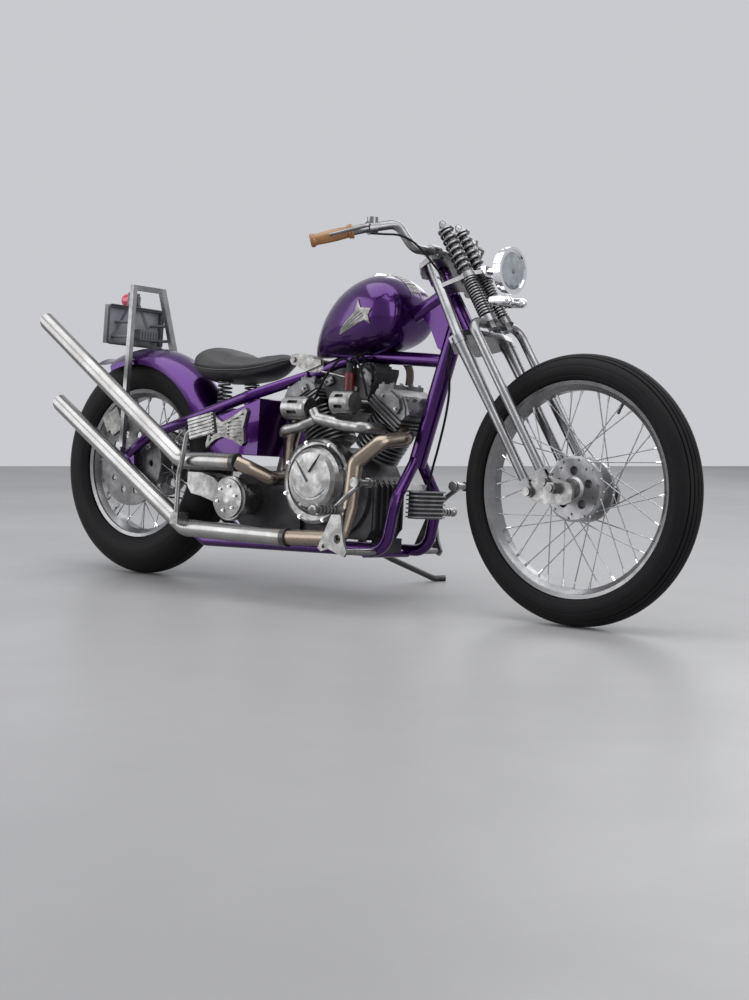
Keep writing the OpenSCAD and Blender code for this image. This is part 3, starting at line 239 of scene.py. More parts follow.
# Every look: colour, other colour, roughness low and high, mottle scale and fine scale, bump strength and depth,
# metallic, and the shader's own values. A colour in words is the property of that name, and an other colour that is one
# number is a multiple of the first.
LOOKS = {
    "candy paint": ("candy", 1.35, (0.22, 0.32), (5.0, 900.0), (0.04, 0.0004), 0.85,
                    {"Coat_Weight": 0.6, "Coat_Roughness": 0.08}),
    "chrome": ("chrome", 0.72, (0.14, 0.28), (16.0, 60.0), (0.02, 0.0006), 1.0, {}),
    "worn chrome": ((0.35, 0.347, 0.343), (0.20, 0.197, 0.193), (0.20, 0.40), (34.0, 160.0), (0.12, 0.0010), 1.0, {}),
    "pewter": ((0.33, 0.32, 0.31), (0.20, 0.195, 0.19), (0.34, 0.52), (60.0, 400.0), (0.20, 0.0008), 1.0, {}),
    "bar steel": ((0.34, 0.34, 0.345), (0.22, 0.22, 0.225), (0.26, 0.44), (22.0, 200.0), (0.08, 0.0008), 1.0, {}),
    "rim metal": ((0.29, 0.29, 0.298), (0.21, 0.21, 0.216), (0.22, 0.36), (18.0, 120.0), (0.03, 0.0006), 1.0, {}),
    "spoke steel": ((0.46, 0.46, 0.47), (0.32, 0.32, 0.33), (0.20, 0.34), (40.0, 200.0), (0.03, 0.0004), 1.0, {}),
    "satin alloy": ((0.40, 0.40, 0.41), (0.28, 0.28, 0.29), (0.30, 0.46), (25.0, 500.0), (0.12, 0.0006), 1.0, {}),
    "cast engine grey": ((0.20, 0.20, 0.205), (0.11, 0.11, 0.115), (0.34, 0.55), (22.0, 700.0), (0.22, 0.0008), 0.85,
                         {}),
    # the dark castings' colour, also used for the painted-shade blocks in the canisters' slots and the cooler's fins
    "dark castings": ((0.045, 0.045, 0.05), (0.02, 0.02, 0.022), (0.40, 0.62), (18.0, 650.0), (0.25, 0.0010), 0.3, {}),
    "black leather": ("leather", (0.034, 0.034, 0.037), (0.42, 0.58), (12.0, 520.0), (0.35, 0.0012), 0.0, {}),
    "black rubber": ("rubber", (0.011, 0.011, 0.012), (0.46, 0.62), (8.0, 700.0), (0.12, 0.0005), 0.0,
                     {"Specular_IOR_Level": 0.13}),
    # black paint, also used for the painted-shade sleeves inside the fork springs
    "black paint": ((0.016, 0.016, 0.018), (0.026, 0.026, 0.028), (0.26, 0.42), (16.0, 400.0), (0.06, 0.0006), 0.0,
                    {"Coat_Weight": 0.4}),
    "plate grey": ((0.17, 0.175, 0.19), (0.12, 0.125, 0.14), (0.38, 0.55), (20.0, 300.0), (0.08, 0.0006), 0.1, {}),
    "blank plate": ((0.30, 0.31, 0.34), (0.24, 0.25, 0.27), (0.32, 0.46), (14.0, 200.0), (0.04, 0.0005), 0.2, {}),
    "red lens": ("lamp", (0.50, 0.005, 0.04), (0.10, 0.18), (9.0, 90.0), (0.05, 0.0008), 0.0, {"Coat_Weight": 0.8}),
    "coil red": ((0.14, 0.006, 0.010), (0.07, 0.004, 0.006), (0.28, 0.42), (20.0, 300.0), (0.06, 0.0006), 0.0, {}),
    "braided hose": ((0.12, 0.105, 0.085), (0.20, 0.16, 0.12), (0.42, 0.60), (60.0, 900.0), (0.35, 0.0008), 0.1, {}),
    "grip brown": ("grip", (0.26, 0.115, 0.04), (0.32, 0.46), (26.0, 300.0), (0.10, 0.0008), 0.0, {"Coat_Weight": 0.3}),
    "pipe metal": ((0.38, 0.377, 0.373), (0.29, 0.283, 0.277), (0.20, 0.32), (9.0, 90.0), (0.0, 0.0006), 1.0, {}),
    "lens glass": ((0.30, 0.32, 0.34), (0.48, 0.51, 0.54), (0.05, 0.12), (24.0, 40.0), (0.0, 0.001), 0.8,
                   {"Coat_Weight": 0.8}),
    "amber lens": ((0.55, 0.22, 0.03), (0.45, 0.16, 0.02), (0.10, 0.18), (30.0, 200.0), (0.05, 0.0006), 0.0,
                   {"Coat_Weight": 0.8}),
    "floor": ((0.40, 0.40, 0.41), (0.37, 0.37, 0.38), (0.34, 0.46), (1.2, 30.0), (0.0, 0.001), 0.0,
              {"Specular_IOR_Level": 0.3}),
}

# The look of each material slot, and of the solids that have one of their own
SLOT_LOOKS = {
    "candy_purple": "candy paint", "chrome": "chrome", "satin_alloy": "satin alloy", "black_leather": "black leather",
    "black_paint": "black paint", "engine_dark": "dark castings", "engine_alloy": "cast engine grey",
    "tyre": "black rubber", "black_rubber": "black rubber", "grey_plate": "plate grey", "red_lens": "red lens",
    "red_coil": "coil red", "tan_hose": "braided hose", "tan_grip": "grip brown",
}
OWN_LOOKS = {
    "foot_controls": "worn chrome", "intake": "worn chrome", "engine_covers": "worn chrome", "rockers": "worn chrome",
    "front_rim": "rim metal", "rear_rim": "rim metal", "fork_rear_legs": "rim metal", "fork_front_legs": "rim metal",
    "handlebar": "rim metal", "front_spokes": "spoke steel", "rear_spokes": "spoke steel", "sissy_bar": "bar steel",
    "seat_hinge": "pewter", "rear_axle_set": "pewter", "chrome_trim": "pewter", "rear_hub": "cast engine grey",
}
# Each header's material, and the place along x ahead of which its metal is tinted by heat
HEADERS = {"exhaust_upper": ("upper pipe metal", -0.235), "exhaust_lower": ("lower pipe metal", -0.015)}
HEAT_TINT = (0.29, 0.24, 0.195)
HEAT_WIDTH = 0.03


def look(kind, name=None):
    """The material of a kind in LOOKS, made once, under its own name or another."""
    colour, other, (low, high), (scale, fine), (bump, depth), metal, sockets = LOOKS[kind]
    if isinstance(colour, str):
        colour = tuple(getattr(colours(), colour))
    if isinstance(other, float):
        other = tuple(other * c for c in colour)
    return mottled(name or kind, colour, other, low, high, scale, fine, bump, depth, metal, **sockets)


def header_metal(name, x):
    if name in bpy.data.materials:
        return bpy.data.materials[name]
    m = look("pipe metal", name)
    tint_ahead(m, x, HEAT_WIDTH, HEAT_TINT)
    return m


# ---------------------------------------------------------------- Shape helpers (millimetres in, one place matrix out)

def turned(at, degrees, axis):
    """Matrix of a place that is turned about one of its own axes."""
    return Matrix.Translation(at) @ Matrix.Rotation(math.radians(degrees), 4, axis)


def along(a, b):
    """Matrix that stands z on point a and turns it to point b."""
    a, b = Vector(a), Vector(b)
    q = Vector((0, 0, 1)).rotation_difference(b - a)
    return Matrix.Translation(a) @ q.to_matrix().to_4x4()


def piece(name, bm, place, material, body, smooth=35):
    """A finished mesh object at the origin, from bmesh shapes in the given frame, riding on a body."""
    bm.transform(place)
    bmesh.ops.recalc_face_normals(bm, faces=bm.faces)
    me = bpy.data.meshes.new(name)
    bm.to_mesh(me)
    bm.free()
    o = bpy.data.objects.new(name, me)
    bpy.context.scene.collection.objects.link(o)
    me.materials.append(material)
    me.polygons.foreach_set("use_smooth", [True] * len(me.polygons))
    if smooth < 180:
        me.set_sharp_from_angle(angle=math.radians(smooth))
    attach(o, body)
    return o


def bar(bm, a, b, d, d2=None, sides=20):
    m = along(a, b)
    h = (Vector(b) - Vector(a)).length
    bmesh.ops.create_cone(bm, cap_ends=True, segments=sides, radius1=d / 2, radius2=(d if d2 is None else d2) / 2,
                          depth=h, matrix=m @ Matrix.Translation((0, 0, h / 2)))


def ball(bm, at, d, sides=16):
    bmesh.ops.create_uvsphere(bm, u_segments=sides, v_segments=max(8, sides // 2), radius=d / 2,
                              matrix=Matrix.Translation(at))


def block(bm, low, high, place=Matrix.Identity(4), bevel=0.0):
    low, high = Vector(low), Vector(high)
    middle = Matrix.Translation((low + high) / 2) @ Matrix.Diagonal((*(high - low), 1))
    got = bmesh.ops.create_cube(bm, size=1.0, matrix=place @ middle)
    if bevel:
        edges = list({e for v in got["verts"] for e in v.link_edges})
        bmesh.ops.bevel(bm, geom=edges, offset=bevel, segments=2, profile=0.5, affect="EDGES", material=-1)


def lathe(bm, profile, place, steps=48, closed=False):
    """Spins a profile of (radius, height) about z in the frame given by place."""
    vs = [bm.verts.new((r, 0, h)) for r, h in profile]
    es = [bm.edges.new((vs[i], vs[i + 1])) for i in range(len(vs) - 1)]
    if closed:
        es.append(bm.edges.new((vs[-1], vs[0])))
    before = set(bm.verts) - set(vs)
    bmesh.ops.spin(bm, geom=vs + es, cent=(0, 0, 0), axis=(0, 0, 1), angle=math.tau, steps=steps, use_merge=True)
    new = [v for v in bm.verts if v not in before]
    bmesh.ops.remove_doubles(bm, verts=new, dist=0.001)
    new = [v for v in bm.verts if v not in before]
    bmesh.ops.transform(bm, matrix=place, verts=new)


def loft(bm, rings):
    """Bridges rings of equal length and caps the ends."""
    loops = []
    for ring in rings:
        got = bmesh.ops.create_circle(bm, cap_ends=False, segments=len(ring), radius=1)
        for v, p in zip(got["verts"], ring):
            v.co = p
        loops.append(list({e for v in got["verts"] for e in v.link_edges}))
    for a, b in zip(loops, loops[1:]):
        bmesh.ops.bridge_loops(bm, edges=a + b)
    for l in (loops[0], loops[-1]):
        bmesh.ops.contextual_create(bm, geom=l)


def smooth_path(p, k):
    """Points through the corners of a route, k steps a stretch, on a smooth curve through its neighbours."""
    out = []
    for i in range(len(p) - 1):
        a, b, c, d = p[max(i - 1, 0)], p[i], p[i + 1], p[min(i + 2, len(p) - 1)]
        for j in range(k):
            t = j / k
            out.append([0.5 * (2 * b[m] + (c[m] - a[m]) * t + (2 * a[m] - 5 * b[m] + 4 * c[m] - d[m]) * t * t
                               + (3 * b[m] - a[m] - 3 * c[m] + d[m]) * t ** 3) for m in range(len(b))])
    return out + [list(p[-1])]


def wire(name, runs, d, place, material, body, sides=3, cyclic=False):
    """A curve object of round wire along one or more runs of points."""
    c = bpy.data.curves.new(name, "CURVE")
    c.dimensions = "3D"
    c.bevel_depth = d / 2 * 0.001
    c.bevel_resolution = sides
    c.use_fill_caps = True
    for run in runs:
        s = c.splines.new("POLY")
        s.points.add(len(run) - 1)
        s.use_cyclic_u = cyclic
        s.use_smooth = True
        for q, p in zip(s.points, run):
            q.co = (*(place @ Vector(p)), 1)
    o = bpy.data.objects.new(name, c)
    bpy.context.scene.collection.objects.link(o)
    c.materials.append(material)
    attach(o, body)
    return o


def helix(at, turns, height, d, wire_d, per_turn=28):
    """A coil's centre line standing on its foot at a point."""
    steps = int(turns * per_turn)
    out = []
    for i in range(steps + 1):
        a = math.tau * i / per_turn
        out.append((at[0] + (d - wire_d) / 2 * math.cos(a), at[1] + (d - wire_d) / 2 * math.sin(a),
                    at[2] + wire_d / 2 + (height - wire_d) * i / steps))
    return out


def squared(v, e):
    """A sine or cosine bent towards a square's, for e below 1."""
    return math.copysign(abs(v) ** e, v)


def station_rings(stations, e, sides):
    """A squared oval ring across x at each station of x, lowest z, highest z and half width."""
    return [[Vector((x, half * squared(math.cos(math.tau * j / sides), e),
                     (low + high) / 2 + (high - low) / 2 * squared(math.sin(math.tau * j / sides), e)))
             for j in range(sides)] for x, low, high, half in stations]


def station_at(stations, x):
    """Lowest z, highest z and half width at x, or None beyond the ends."""
    for a, b in zip(stations, stations[1:]):
        if a[0] <= x <= b[0]:
            t = (x - a[0]) / (b[0] - a[0])
            return [a[i] + (b[i] - a[i]) * t for i in (1, 2, 3)]
    return None


# ---------------------------------------------------------------- The solids' own materials

class CHOPPER_OT_materials(bpy.types.Operator):
    """Give every solid its procedural material"""
    bl_idname = "chopper.materials"
    bl_label = "Materials of the solids"

    def execute(self, context):
        slots = {p["node"]: p["material_slot"] for p in frame["record"]["subparts"]}
        for name, o in NODES.items():
            if name in HEADERS:
                material = header_metal(*HEADERS[name])
            else:
                material = look(OWN_LOOKS.get(name) or SLOT_LOOKS[slots[name]])
            if not o.material_slots:
                o.data.materials.append(material)
            for s in o.material_slots:
                s.material = material
        return {"FINISHED"}


# ---------------------------------------------------------------- Tank and seat

TANK = [(-110, 684, 698, 8), (-98, 682, 724, 26), (-70, 682, 772, 52), (-30, 683, 830, 78), (20, 685, 877, 99),
        (75, 688, 906, 114), (130, 695, 918, 124), (180, 708, 911, 126), (215, 726, 891, 115), (238, 752, 862, 88),
        (248, 780, 836, 50), (250, 796, 820, 20)]
SEAT = [(-562, 650, 670, 36), (-552, 640, 692, 74), (-530, 618, 708, 102), (-500, 602, 715, 118), (-450, 600, 704, 126),
        (-400, 605, 689, 120), (-340, 613, 683, 101), (-285, 626, 689, 73), (-240, 646, 697, 48), (-208, 668, 692, 20)]
# How square the tank's and the seat's sections are: 1 is an oval
TANK_SQUARE = 0.85
SEAT_SQUARE = 0.8
# The seam's height as shares of a section's lowest and highest z, and so its drop below the middle in half heights
SEAM = (0.62, 0.38)
SEAM_DROP = 0.24
CUSHION_VOXEL = 0.006
CUSHION_PRESSURE = 4.0
CUSHION_CAP = 0.005


class CHOPPER_OT_tank(bpy.types.Operator):
    """Build the smooth skin of the fuel tank, with its fittings"""
    bl_idname = "chopper.tank"
    bl_label = "Fuel tank"

    def execute(self, context):
        bm = bmesh.new()
        loft(bm, station_rings(smooth_path(TANK, 4), TANK_SQUARE, 56))
        o = piece("tank_skin", bm, BIKE, look("candy paint"), "chassis", 60)
        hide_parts("fuel_tank")
        bm = bmesh.new()
        lathe(bm, [(0, 0), (26, 0), (29, 3), (29, 9), (24, 15), (10, 18), (0, 18.5)],
              turned((112, 0, 908), 4, "Y"), 40)
        piece("filler_cap", bm, BIKE, look("chrome"), "chassis")
        # fine raised lines along each star's tail
        runs = []
        for side in (-1, 1):
            for dx in (-7, 0, 7):
                run = []
                for i in range(13):
                    t = i / 12
                    x, z = 150 + dx * 0.7 - 78 * t, 800 - dx - 44 * t + dx * 0.45 * t
                    run.append((x, side * (tank_side(x, z) + 4.0), z))
                runs.append(run)
        wire("star_lines", runs, 2.4, BIKE, look("pewter"), "chassis")
        return {"FINISHED"}


def tank_side(x, z):
    """Half the tank's width at a place on its side."""
    low, high, half = station_at(TANK, x)
    across = min(1.0, abs(z - (low + high) / 2) / ((high - low) / 2)) ** (1 / TANK_SQUARE)
    return half * max(0.0, 1 - across * across) ** (TANK_SQUARE / 2)


def settle_cushion(o, pressure, cap):
    """Swells a closed cushion with cloth under pressure, caps how far it may move, and keeps the result."""
    rest = [v.co.copy() for v in o.data.vertices]
    m = o.modifiers.new("Cloth", "CLOTH")
    m.settings.use_pressure = True
    m.settings.uniform_pressure_force = pressure
    m.settings.effector_weights.gravity = 0
    m.settings.quality = 6
    m.settings.tension_stiffness = 30
    m.settings.bending_stiffness = 4
    m.point_cache.frame_start, m.point_cache.frame_end = 1, 20
    scene = bpy.context.scene
    for f in range(1, 21):
        scene.frame_set(f)
    depsgraph = bpy.context.evaluated_depsgraph_get()
    got = o.evaluated_get(depsgraph).to_mesh()
    moved = [v.co.copy() for v in got.vertices]
    o.evaluated_get(depsgraph).to_mesh_clear()
    o.modifiers.remove(m)
    scene.frame_set(1)
    for v, a, b in zip(o.data.vertices, rest, moved):
        step = b - a
        if step.length > cap:
            step = step.normalized() * cap
        v.co = a + step


class CHOPPER_OT_seat(bpy.types.Operator):
    """Build the leather solo seat: a swollen pad with piping round its edge"""
    bl_idname = "chopper.seat"
    bl_label = "Seat"

    def execute(self, context):
        bm = bmesh.new()
        shrunk = [(s[0], s[1] + 5, s[2] - 6, s[3] - 5) for s in SEAT]
        loft(bm, station_rings(smooth_path(shrunk, 3), SEAT_SQUARE, 40))
        bm.transform(BIKE)
        bmesh.ops.recalc_face_normals(bm, faces=bm.faces)
        me = bpy.data.meshes.new("seat_cushion")
        bm.to_mesh(me)
        bm.free()
        o = bpy.data.objects.new("seat_cushion", me)
        context.scene.collection.objects.link(o)
        bpy.context.view_layer.objects.active = o
        r = o.modifiers.new("Remesh", "REMESH")
        r.mode = "VOXEL"
        r.voxel_size = CUSHION_VOXEL
        depsgraph = context.evaluated_depsgraph_get()
        skin = bpy.data.meshes.new_from_object(o.evaluated_get(depsgraph))
        o.modifiers.clear()
        o.data = skin
        settle_cushion(o, CUSHION_PRESSURE, CUSHION_CAP)
        inverse = BIKE.inverted()
        for v in o.data.vertices:
            p = inverse @ v.co
            across = p.y / 126.0
            # a seam round the edge, and shallow waves across the top
            section = station_at(SEAT, p.x)
            level = section[0] * SEAM[0] + section[1] * SEAM[1] if section else 0.0
            if level and abs(p.y) > 6:
                p.y -= math.copysign(3.0, p.y) * math.exp(-((p.z - level) / 5.0) ** 2)
            if p.z > level:
                p.z -= 1.2 * math.sin(p.x * 0.09) * max(0.0, 1 - abs(across))
            v.co = BIKE @ p
        o.data.materials.append(look("black leather"))
        o.data.polygons.foreach_set("use_smooth", [True] * len(o.data.polygons))
        s = o.modifiers.new("Subdivision", "SUBSURF")
        s.levels = s.render_levels = 1
        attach(o, "chassis")
        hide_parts("seat")
        ring = []
        rows = smooth_path(SEAT, 4)
        across = SEAM_DROP ** (1 / SEAT_SQUARE)
        share = (1 - across * across) ** (SEAT_SQUARE / 2)
        for side, order in ((1, rows), (-1, reversed(rows))):
            for x, low, high, half in order:
                ring.append((x, side * (half * share - 3.0), low * SEAM[0] + high * SEAM[1]))
        wire("seat_piping", [ring], sizes().seam * 1000 * 0.8, BIKE, look("black leather"), "chassis",
             cyclic=True)
        return {"FINISHED"}


# ---------------------------------------------------------------- Tyres and wheels

class CHOPPER_OT_tyres(bpy.types.Operator):
    """Build the tyres with grooved treads and sidewall ridges"""
    bl_idname = "chopper.tyres"
    bl_label = "Tyres"

    def tyre(self, name, cad, axle, r, w, rim_r, body, grooves):
        half = w / 2
        mid = r - half
        depth = sizes().tread_depth * 1000
        profile = []
        start = math.acos(max(-1.0, (rim_r + 1 - mid) / half))
        n = 96
        for i in range(n + 1):
            a = -start + 2 * start * i / n
            c = half
            # circumferential grooves over the crown
            for g, width in grooves:
                d = abs(a - g) / width
                if d < 1:
                    c -= depth * min(1.0, 2.2 * (1 - d))
            # ridges low on the sidewall
            for ridge in (0.62, 0.9):
                if abs(abs(a) - start * ridge) < 0.02:
                    c -= 0.9
            profile.append((mid + c * math.cos(a), c * math.sin(a)))
        profile = [(rim_r + 0.4, profile[0][1] * 0.72)] + profile + [(rim_r + 0.4, profile[-1][1] * 0.72)]
        bm = bmesh.new()
        lathe(bm, profile, turned(axle, 90, "X"), 144, True)
        o = piece(name, bm, BIKE, look("black rubber"), body, 40)
        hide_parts(cad)

    def execute(self, context):
        front = [(g, 0.034) for g in (-0.78, -0.52, -0.26, 0.0, 0.26, 0.52, 0.78)]
        rear = [(g, 0.028) for g in (-0.60, -0.30, 0.30, 0.60)]
        self.tyre("front_tyre_tread", "front_tyre", FRONT_AXLE, 349, 91, 280, "front_wheel", front)
        self.tyre("rear_tyre_tread", "rear_tyre", REAR_AXLE, 346, 132, 235, "rear_wheel", rear)
        return {"FINISHED"}


SPOKES = 40
LACING = math.radians(38)   # how far round the hub a spoke starts from where it ends
HUB_BOLTS = 10
DISC_BOLTS = 6


class CHOPPER_OT_wheels(bpy.types.Operator):
    """Add spoke nipples, hub bolts and tyre valves"""
    bl_idname = "chopper.wheels"
    bl_label = "Wheel details"

    def nipples(self, axle, inner, outer, sides, rim_y, body, name):
        bm = bmesh.new()
        for i in range(SPOKES):
            y = sides[i % 2]
            swing = 1 if i % 4 < 2 else -1
            a = math.tau * i / SPOKES
            b = a - swing * LACING
            p = Vector((inner * math.cos(b), y + 4 * swing, inner * math.sin(b)))
            q = Vector((outer * math.cos(a), math.copysign(rim_y, y), outer * math.sin(a)))
            u = (q - p).normalized()
            bar(bm, q - 17 * u, q + 1 * u, 5.6, 7.0, 8)
            ball(bm, p, 6.0, 8)
        piece(name, bm, BIKE @ Matrix.Translation(axle), look("chrome"), body)

    def execute(self, context):
        self.nipples(FRONT_AXLE, 85.3, 253.8, (-22, 32), 6, "front_wheel", "front_nipples")
        self.nipples(REAR_AXLE, 65.3, 208.8, (-40, 40), 10, "rear_wheel", "rear_nipples")
        bm = bmesh.new()
        for i in range(HUB_BOLTS):
            a = math.radians(9 + 360 * i / HUB_BOLTS)
            p = Vector(FRONT_AXLE) + Vector((76 * math.cos(a), -30, 76 * math.sin(a)))
            bar(bm, p, p + Vector((0, -3.2, 0)), 8, 8, 6)
        lathe(bm, [(15, 0), (19, 0), (19, 4), (15, 4)], turned((FRONT_AXLE[0], -52, FRONT_AXLE[2]), 90, "X"), 32, True)
        piece("front_hub_bolts", bm, BIKE, look("worn chrome"), "front_wheel")
        bm = bmesh.new()
        for i in range(DISC_BOLTS):
            a = math.radians(60 * i + 30)
            p = Vector(REAR_AXLE) + Vector((48 * math.cos(a), 0, 48 * math.sin(a)))
            bar(bm, p + Vector((0, -80, 0)), p + Vector((0, -84, 0)), 11, 11, 6)
        piece("disc_bolts", bm, BIKE, look("worn chrome"), "rear_wheel")
        for name, axle, r, turn, body in (("front_valve", FRONT_AXLE, 254, 62, "front_wheel"),
                                          ("rear_valve", REAR_AXLE, 209, 40, "rear_wheel")):
            a = math.radians(turn)
            u = Vector((math.cos(a), 0, math.sin(a)))
            bm = bmesh.new()
            bar(bm, Vector(axle) + (r + 1) * u, Vector(axle) + (r - 22) * u, 8, 7, 12)
            bar(bm, Vector(axle) + (r - 22) * u, Vector(axle) + (r - 32) * u, 8.6, 7.6, 12)
            piece(name, bm, BIKE, look("black paint"), body)
        return {"FINISHED"}


# ---------------------------------------------------------------- Springs

# Where the fork's coils stand in the fork's frame, the seat's on the machine, and the fine coils' wire
FORK_COIL_X, FORK_COIL_Y = 99, (-37, 37)
SEAT_COIL_X, SEAT_COIL_Y = -430, (-58, 58)
FINE_WIRE = 5.6
SEAT_WIRE = 6


class CHOPPER_OT_springs(bpy.types.Operator):
    """Build the fork's and the seat's coil springs with rods, washers and acorn nuts"""
    bl_idname = "chopper.springs"
    bl_label = "Springs"

    def execute(self, context):
        wire_d = sizes().spring_wire * 1000
        fine, coarse = [], []
        bm = bmesh.new()
        for y in FORK_COIL_Y:
            foot = Matrix.Translation((FORK_COIL_X, y, 0))
            fine.append(helix((FORK_COIL_X, y, -141), 13, 117, 39, FINE_WIRE))
            coarse.append(helix((FORK_COIL_X, y, 0), 7, 142, 45, wire_d))
            lathe(bm, [(0, -141), (8, -141), (8, 156), (0, 156)], foot, 24)
            for z, d in ((-24, 44), (-6, 46), (142, 46)):
                r = d / 2
                washer = [(8.05, z), (r - 1, z), (r, z + 1), (r, z + 5), (r - 1, z + 6), (8.05, z + 6)]
                lathe(bm, washer, foot, 40, True)
            bar(bm, (FORK_COIL_X, y, 148), (FORK_COIL_X, y, 160), 28, 28, 6)
            acorn = [(0, 160), (12, 160), (12, 165), (10.6, 170), (8, 174.5), (4.5, 176.6), (0, 177)]
            lathe(bm, acorn, foot, 24)
        o = piece("spring_rods", bm, FORK, look("rim metal"), "fork")
        bm = bmesh.new()
        # painted shade: dark sleeves that stand between the rods and the coils, standing in for the shade inside the
        # coils
        for y in FORK_COIL_Y:
            for r, low, high in ((12.4, -140.5, -24.5), (13.4, 0.5, 141.5)):
                lathe(bm, [(8.1, low), (r, low), (r, high), (8.1, high)],
                      Matrix.Translation((FORK_COIL_X, y, 0)), 24, True)
        piece("spring_sleeves", bm, FORK, look("black paint"), "fork")
        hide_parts("fork_springs")
        wire("fine_fork_springs", fine, FINE_WIRE, FORK, look("rim metal"), "fork")
        wire("coarse_fork_springs", coarse, wire_d, FORK, look("rim metal"), "fork", 4)
        runs = [helix((SEAT_COIL_X, y, 534), 5, 66, 46, SEAT_WIRE) for y in SEAT_COIL_Y]
        o = wire("seat_coils", runs, SEAT_WIRE, BIKE, look("black paint"), "chassis")
        bm = bmesh.new()
        for y in SEAT_COIL_Y:
            foot = Matrix.Translation((SEAT_COIL_X, y, 0))
            lathe(bm, [(0, 527), (23, 527), (24, 528), (24, 533), (23, 534), (0, 534)], foot, 32)
            lathe(bm, [(0, 600), (23, 600), (24, 601), (24, 605), (23, 606), (0, 606)], foot, 32)
            bar(bm, (SEAT_COIL_X, y, 520), (SEAT_COIL_X, y, 528), 20)
        piece("seat_spring_cups", bm, BIKE, look("black paint"), "chassis")
        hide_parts("seat_springs")
        return {"FINISHED"}


# ---------------------------------------------------------------- Lamps

class CHOPPER_OT_lamps(bpy.types.Operator):
    """Add the headlight's fluted lens and rim, and the small lamps' lenses"""
    bl_idname = "chopper.lamps"
    bl_label = "Lamps"

    def execute(self, context):
        face = turned((563, 0, 920), 90, "Y")
        bm = bmesh.new()
        lathe(bm, [(55.5, -3), (56, -1), (59, 1.6), (61.6, 1.2), (62, -1.5), (61, -4), (58, -5)], face, 72, True)
        piece("headlight_rim", bm, BIKE, look("chrome"), "fork")
        glass = look("lens glass")
        t = glass.node_tree
        place = node(t, "ShaderNodeTexCoord")
        flute = node(t, "ShaderNodeTexWave", wave_type="BANDS", bands_direction="Y")
        flute.inputs["Scale"].default_value = 12.0
        flute.inputs["Distortion"].default_value = 0.0
        bump = node(t, "ShaderNodeBump")
        bump.inputs["Strength"].default_value = 0.5
        bump.inputs["Distance"].default_value = 0.002
        t.links.new(place.outputs["Object"], flute.inputs["Vector"])
        t.links.new(flute.outputs["Fac"], bump.inputs["Height"])
        t.links.new(bump.outputs["Normal"], t.nodes["Principled BSDF"].inputs["Normal"])
        bm = bmesh.new()
        lathe(bm, [(0, 1.8), (18, 1.5), (34, 0.7), (48, -0.5), (56, -2.0), (56, -3.0), (0, -1.0)], face, 64)
        piece("headlight_lens", bm, BIKE, glass, "fork", 60)
        bm = bmesh.new()
        lathe(bm, [(0, 2.6), (7, 2.4), (9.4, 1.4), (10, -0.4), (0, -0.4)], face, 32)
        piece("headlight_bulb_shade", bm, BIKE, look("worn chrome"), "fork")
        amber = look("amber lens")
        bm = bmesh.new()
        for y in (-34, 34):
            lathe(bm, [(0, 8), (8.5, 9), (9.6, 12), (9.6, 16.5), (0, 16.5)], turned((522, y, 836), 90, "Y"), 24)
        piece("small_lenses", bm, BIKE, amber, "fork")
        return {"FINISHED"}


# ---------------------------------------------------------------- Cables and hose

CABLE = [(387, -28, 752), (388, -29, 712), (385, -31, 676), (390, -30, 640), (391, -27, 584), (382, -27, 515),
         (362, -25, 436), (346, -20, 392), (330, -12, 352), (318, -8, 319)]
HOSE = [(84, 44, 662), (102, 44, 674), (136, 44, 682), (170, 44, 680), (192, 44, 658), (197, 44, 632), (194, 44, 609)]
LEVER = [(5, -250, 165), (25, -224, 153), (49, -190, 138), (62, -160, 111), (65, -136, 75), (64, -114, 36),
         (58, -92, 18), (58, -88, -4.6)]


class CHOPPER_OT_cables(bpy.types.Operator):
    """Build the cables, the fuel hose and the plug leads as smooth round lines"""
    bl_idname = "chopper.cables"
    bl_label = "Cables and hose"

    def execute(self, context):
        o = wire("frame_cable_line", [smooth_path(CABLE, 8)], 7, BIKE, look("black rubber"), "chassis")
        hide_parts("frame_cable")
        o = wire("lever_cable_line", [smooth_path(LEVER, 8)], 6, FORK, look("black rubber"), "fork")
        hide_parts("bar_cable")
        o = wire("fuel_hose_line", [smooth_path(HOSE, 8)], 22, BIKE, look("braided hose"), "chassis", 5)
        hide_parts("fuel_hose")
        leads = [[(66, -66, 658), (70, -68, 674), (90, -74, 678), (116, -82, 652), (138, -87, 612), (150, -84, 570)],
                 [(62, -66, 658), (54, -70, 674), (30, -78, 668), (2, -86, 634), (-22, -88, 594), (-42, -85, 560)]]
        wire("plug_leads", [smooth_path(p, 8) for p in leads], 7, BIKE, look("black rubber"), "chassis")
        return {"FINISHED"}


# ---------------------------------------------------------------- Grips

class CHOPPER_OT_grips(bpy.types.Operator):
    """Build the turned grips with their rings"""
    bl_idname = "chopper.grips"
    bl_label = "Grips"

    def execute(self, context):
        bm = bmesh.new()
        for side in (-1, 1):
            place = along((143, side * 339, 973), (239, side * 260, 1010))
            profile = [(0, -8), (14, -8), (17.5, -6.5), (19, -3), (19, 1), (18, 4), (15.6, 6.5), (15.4, 8.5)]
            for i in range(15):
                h = 11 + 5.6 * i
                swell = 1.4 * math.sin(math.pi * (i + 0.5) / 15)
                low, high = 15.4 + swell, 15.7 + swell
                profile += [(low, h), (high, h + 1.4), (high, h + 3.4), (low, h + 4.8)]
            profile += [(15.6, 96), (19.4, 97.5), (20, 99.5), (18.6, 101.5), (18.8, 103.5), (20.8, 105), (21, 108),
                        (19.6, 110.4), (17, 111), (0, 111)]
            lathe(bm, profile, place, 40)
        o = piece("turned_grips", bm, BIKE, look("grip brown"), "fork", 50)
        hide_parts("grips")
        return {"FINISHED"}


# ---------------------------------------------------------------- Bolts and small fittings

# Each slotted canister's end, height and length
CANISTERS = ((-96, 529, 90), (84, 549, 72))
# The angles of its slots, and the castings beside the air box: place, size and turn
SLOT_TURNS = (-30, 22)
CASTINGS = (((128, -57, 626), (52, 11, 30), 36), ((78, -56, 590), (26, 10, 22), 20),
            ((-14, -57, 612), (30, 10, 22), -24))

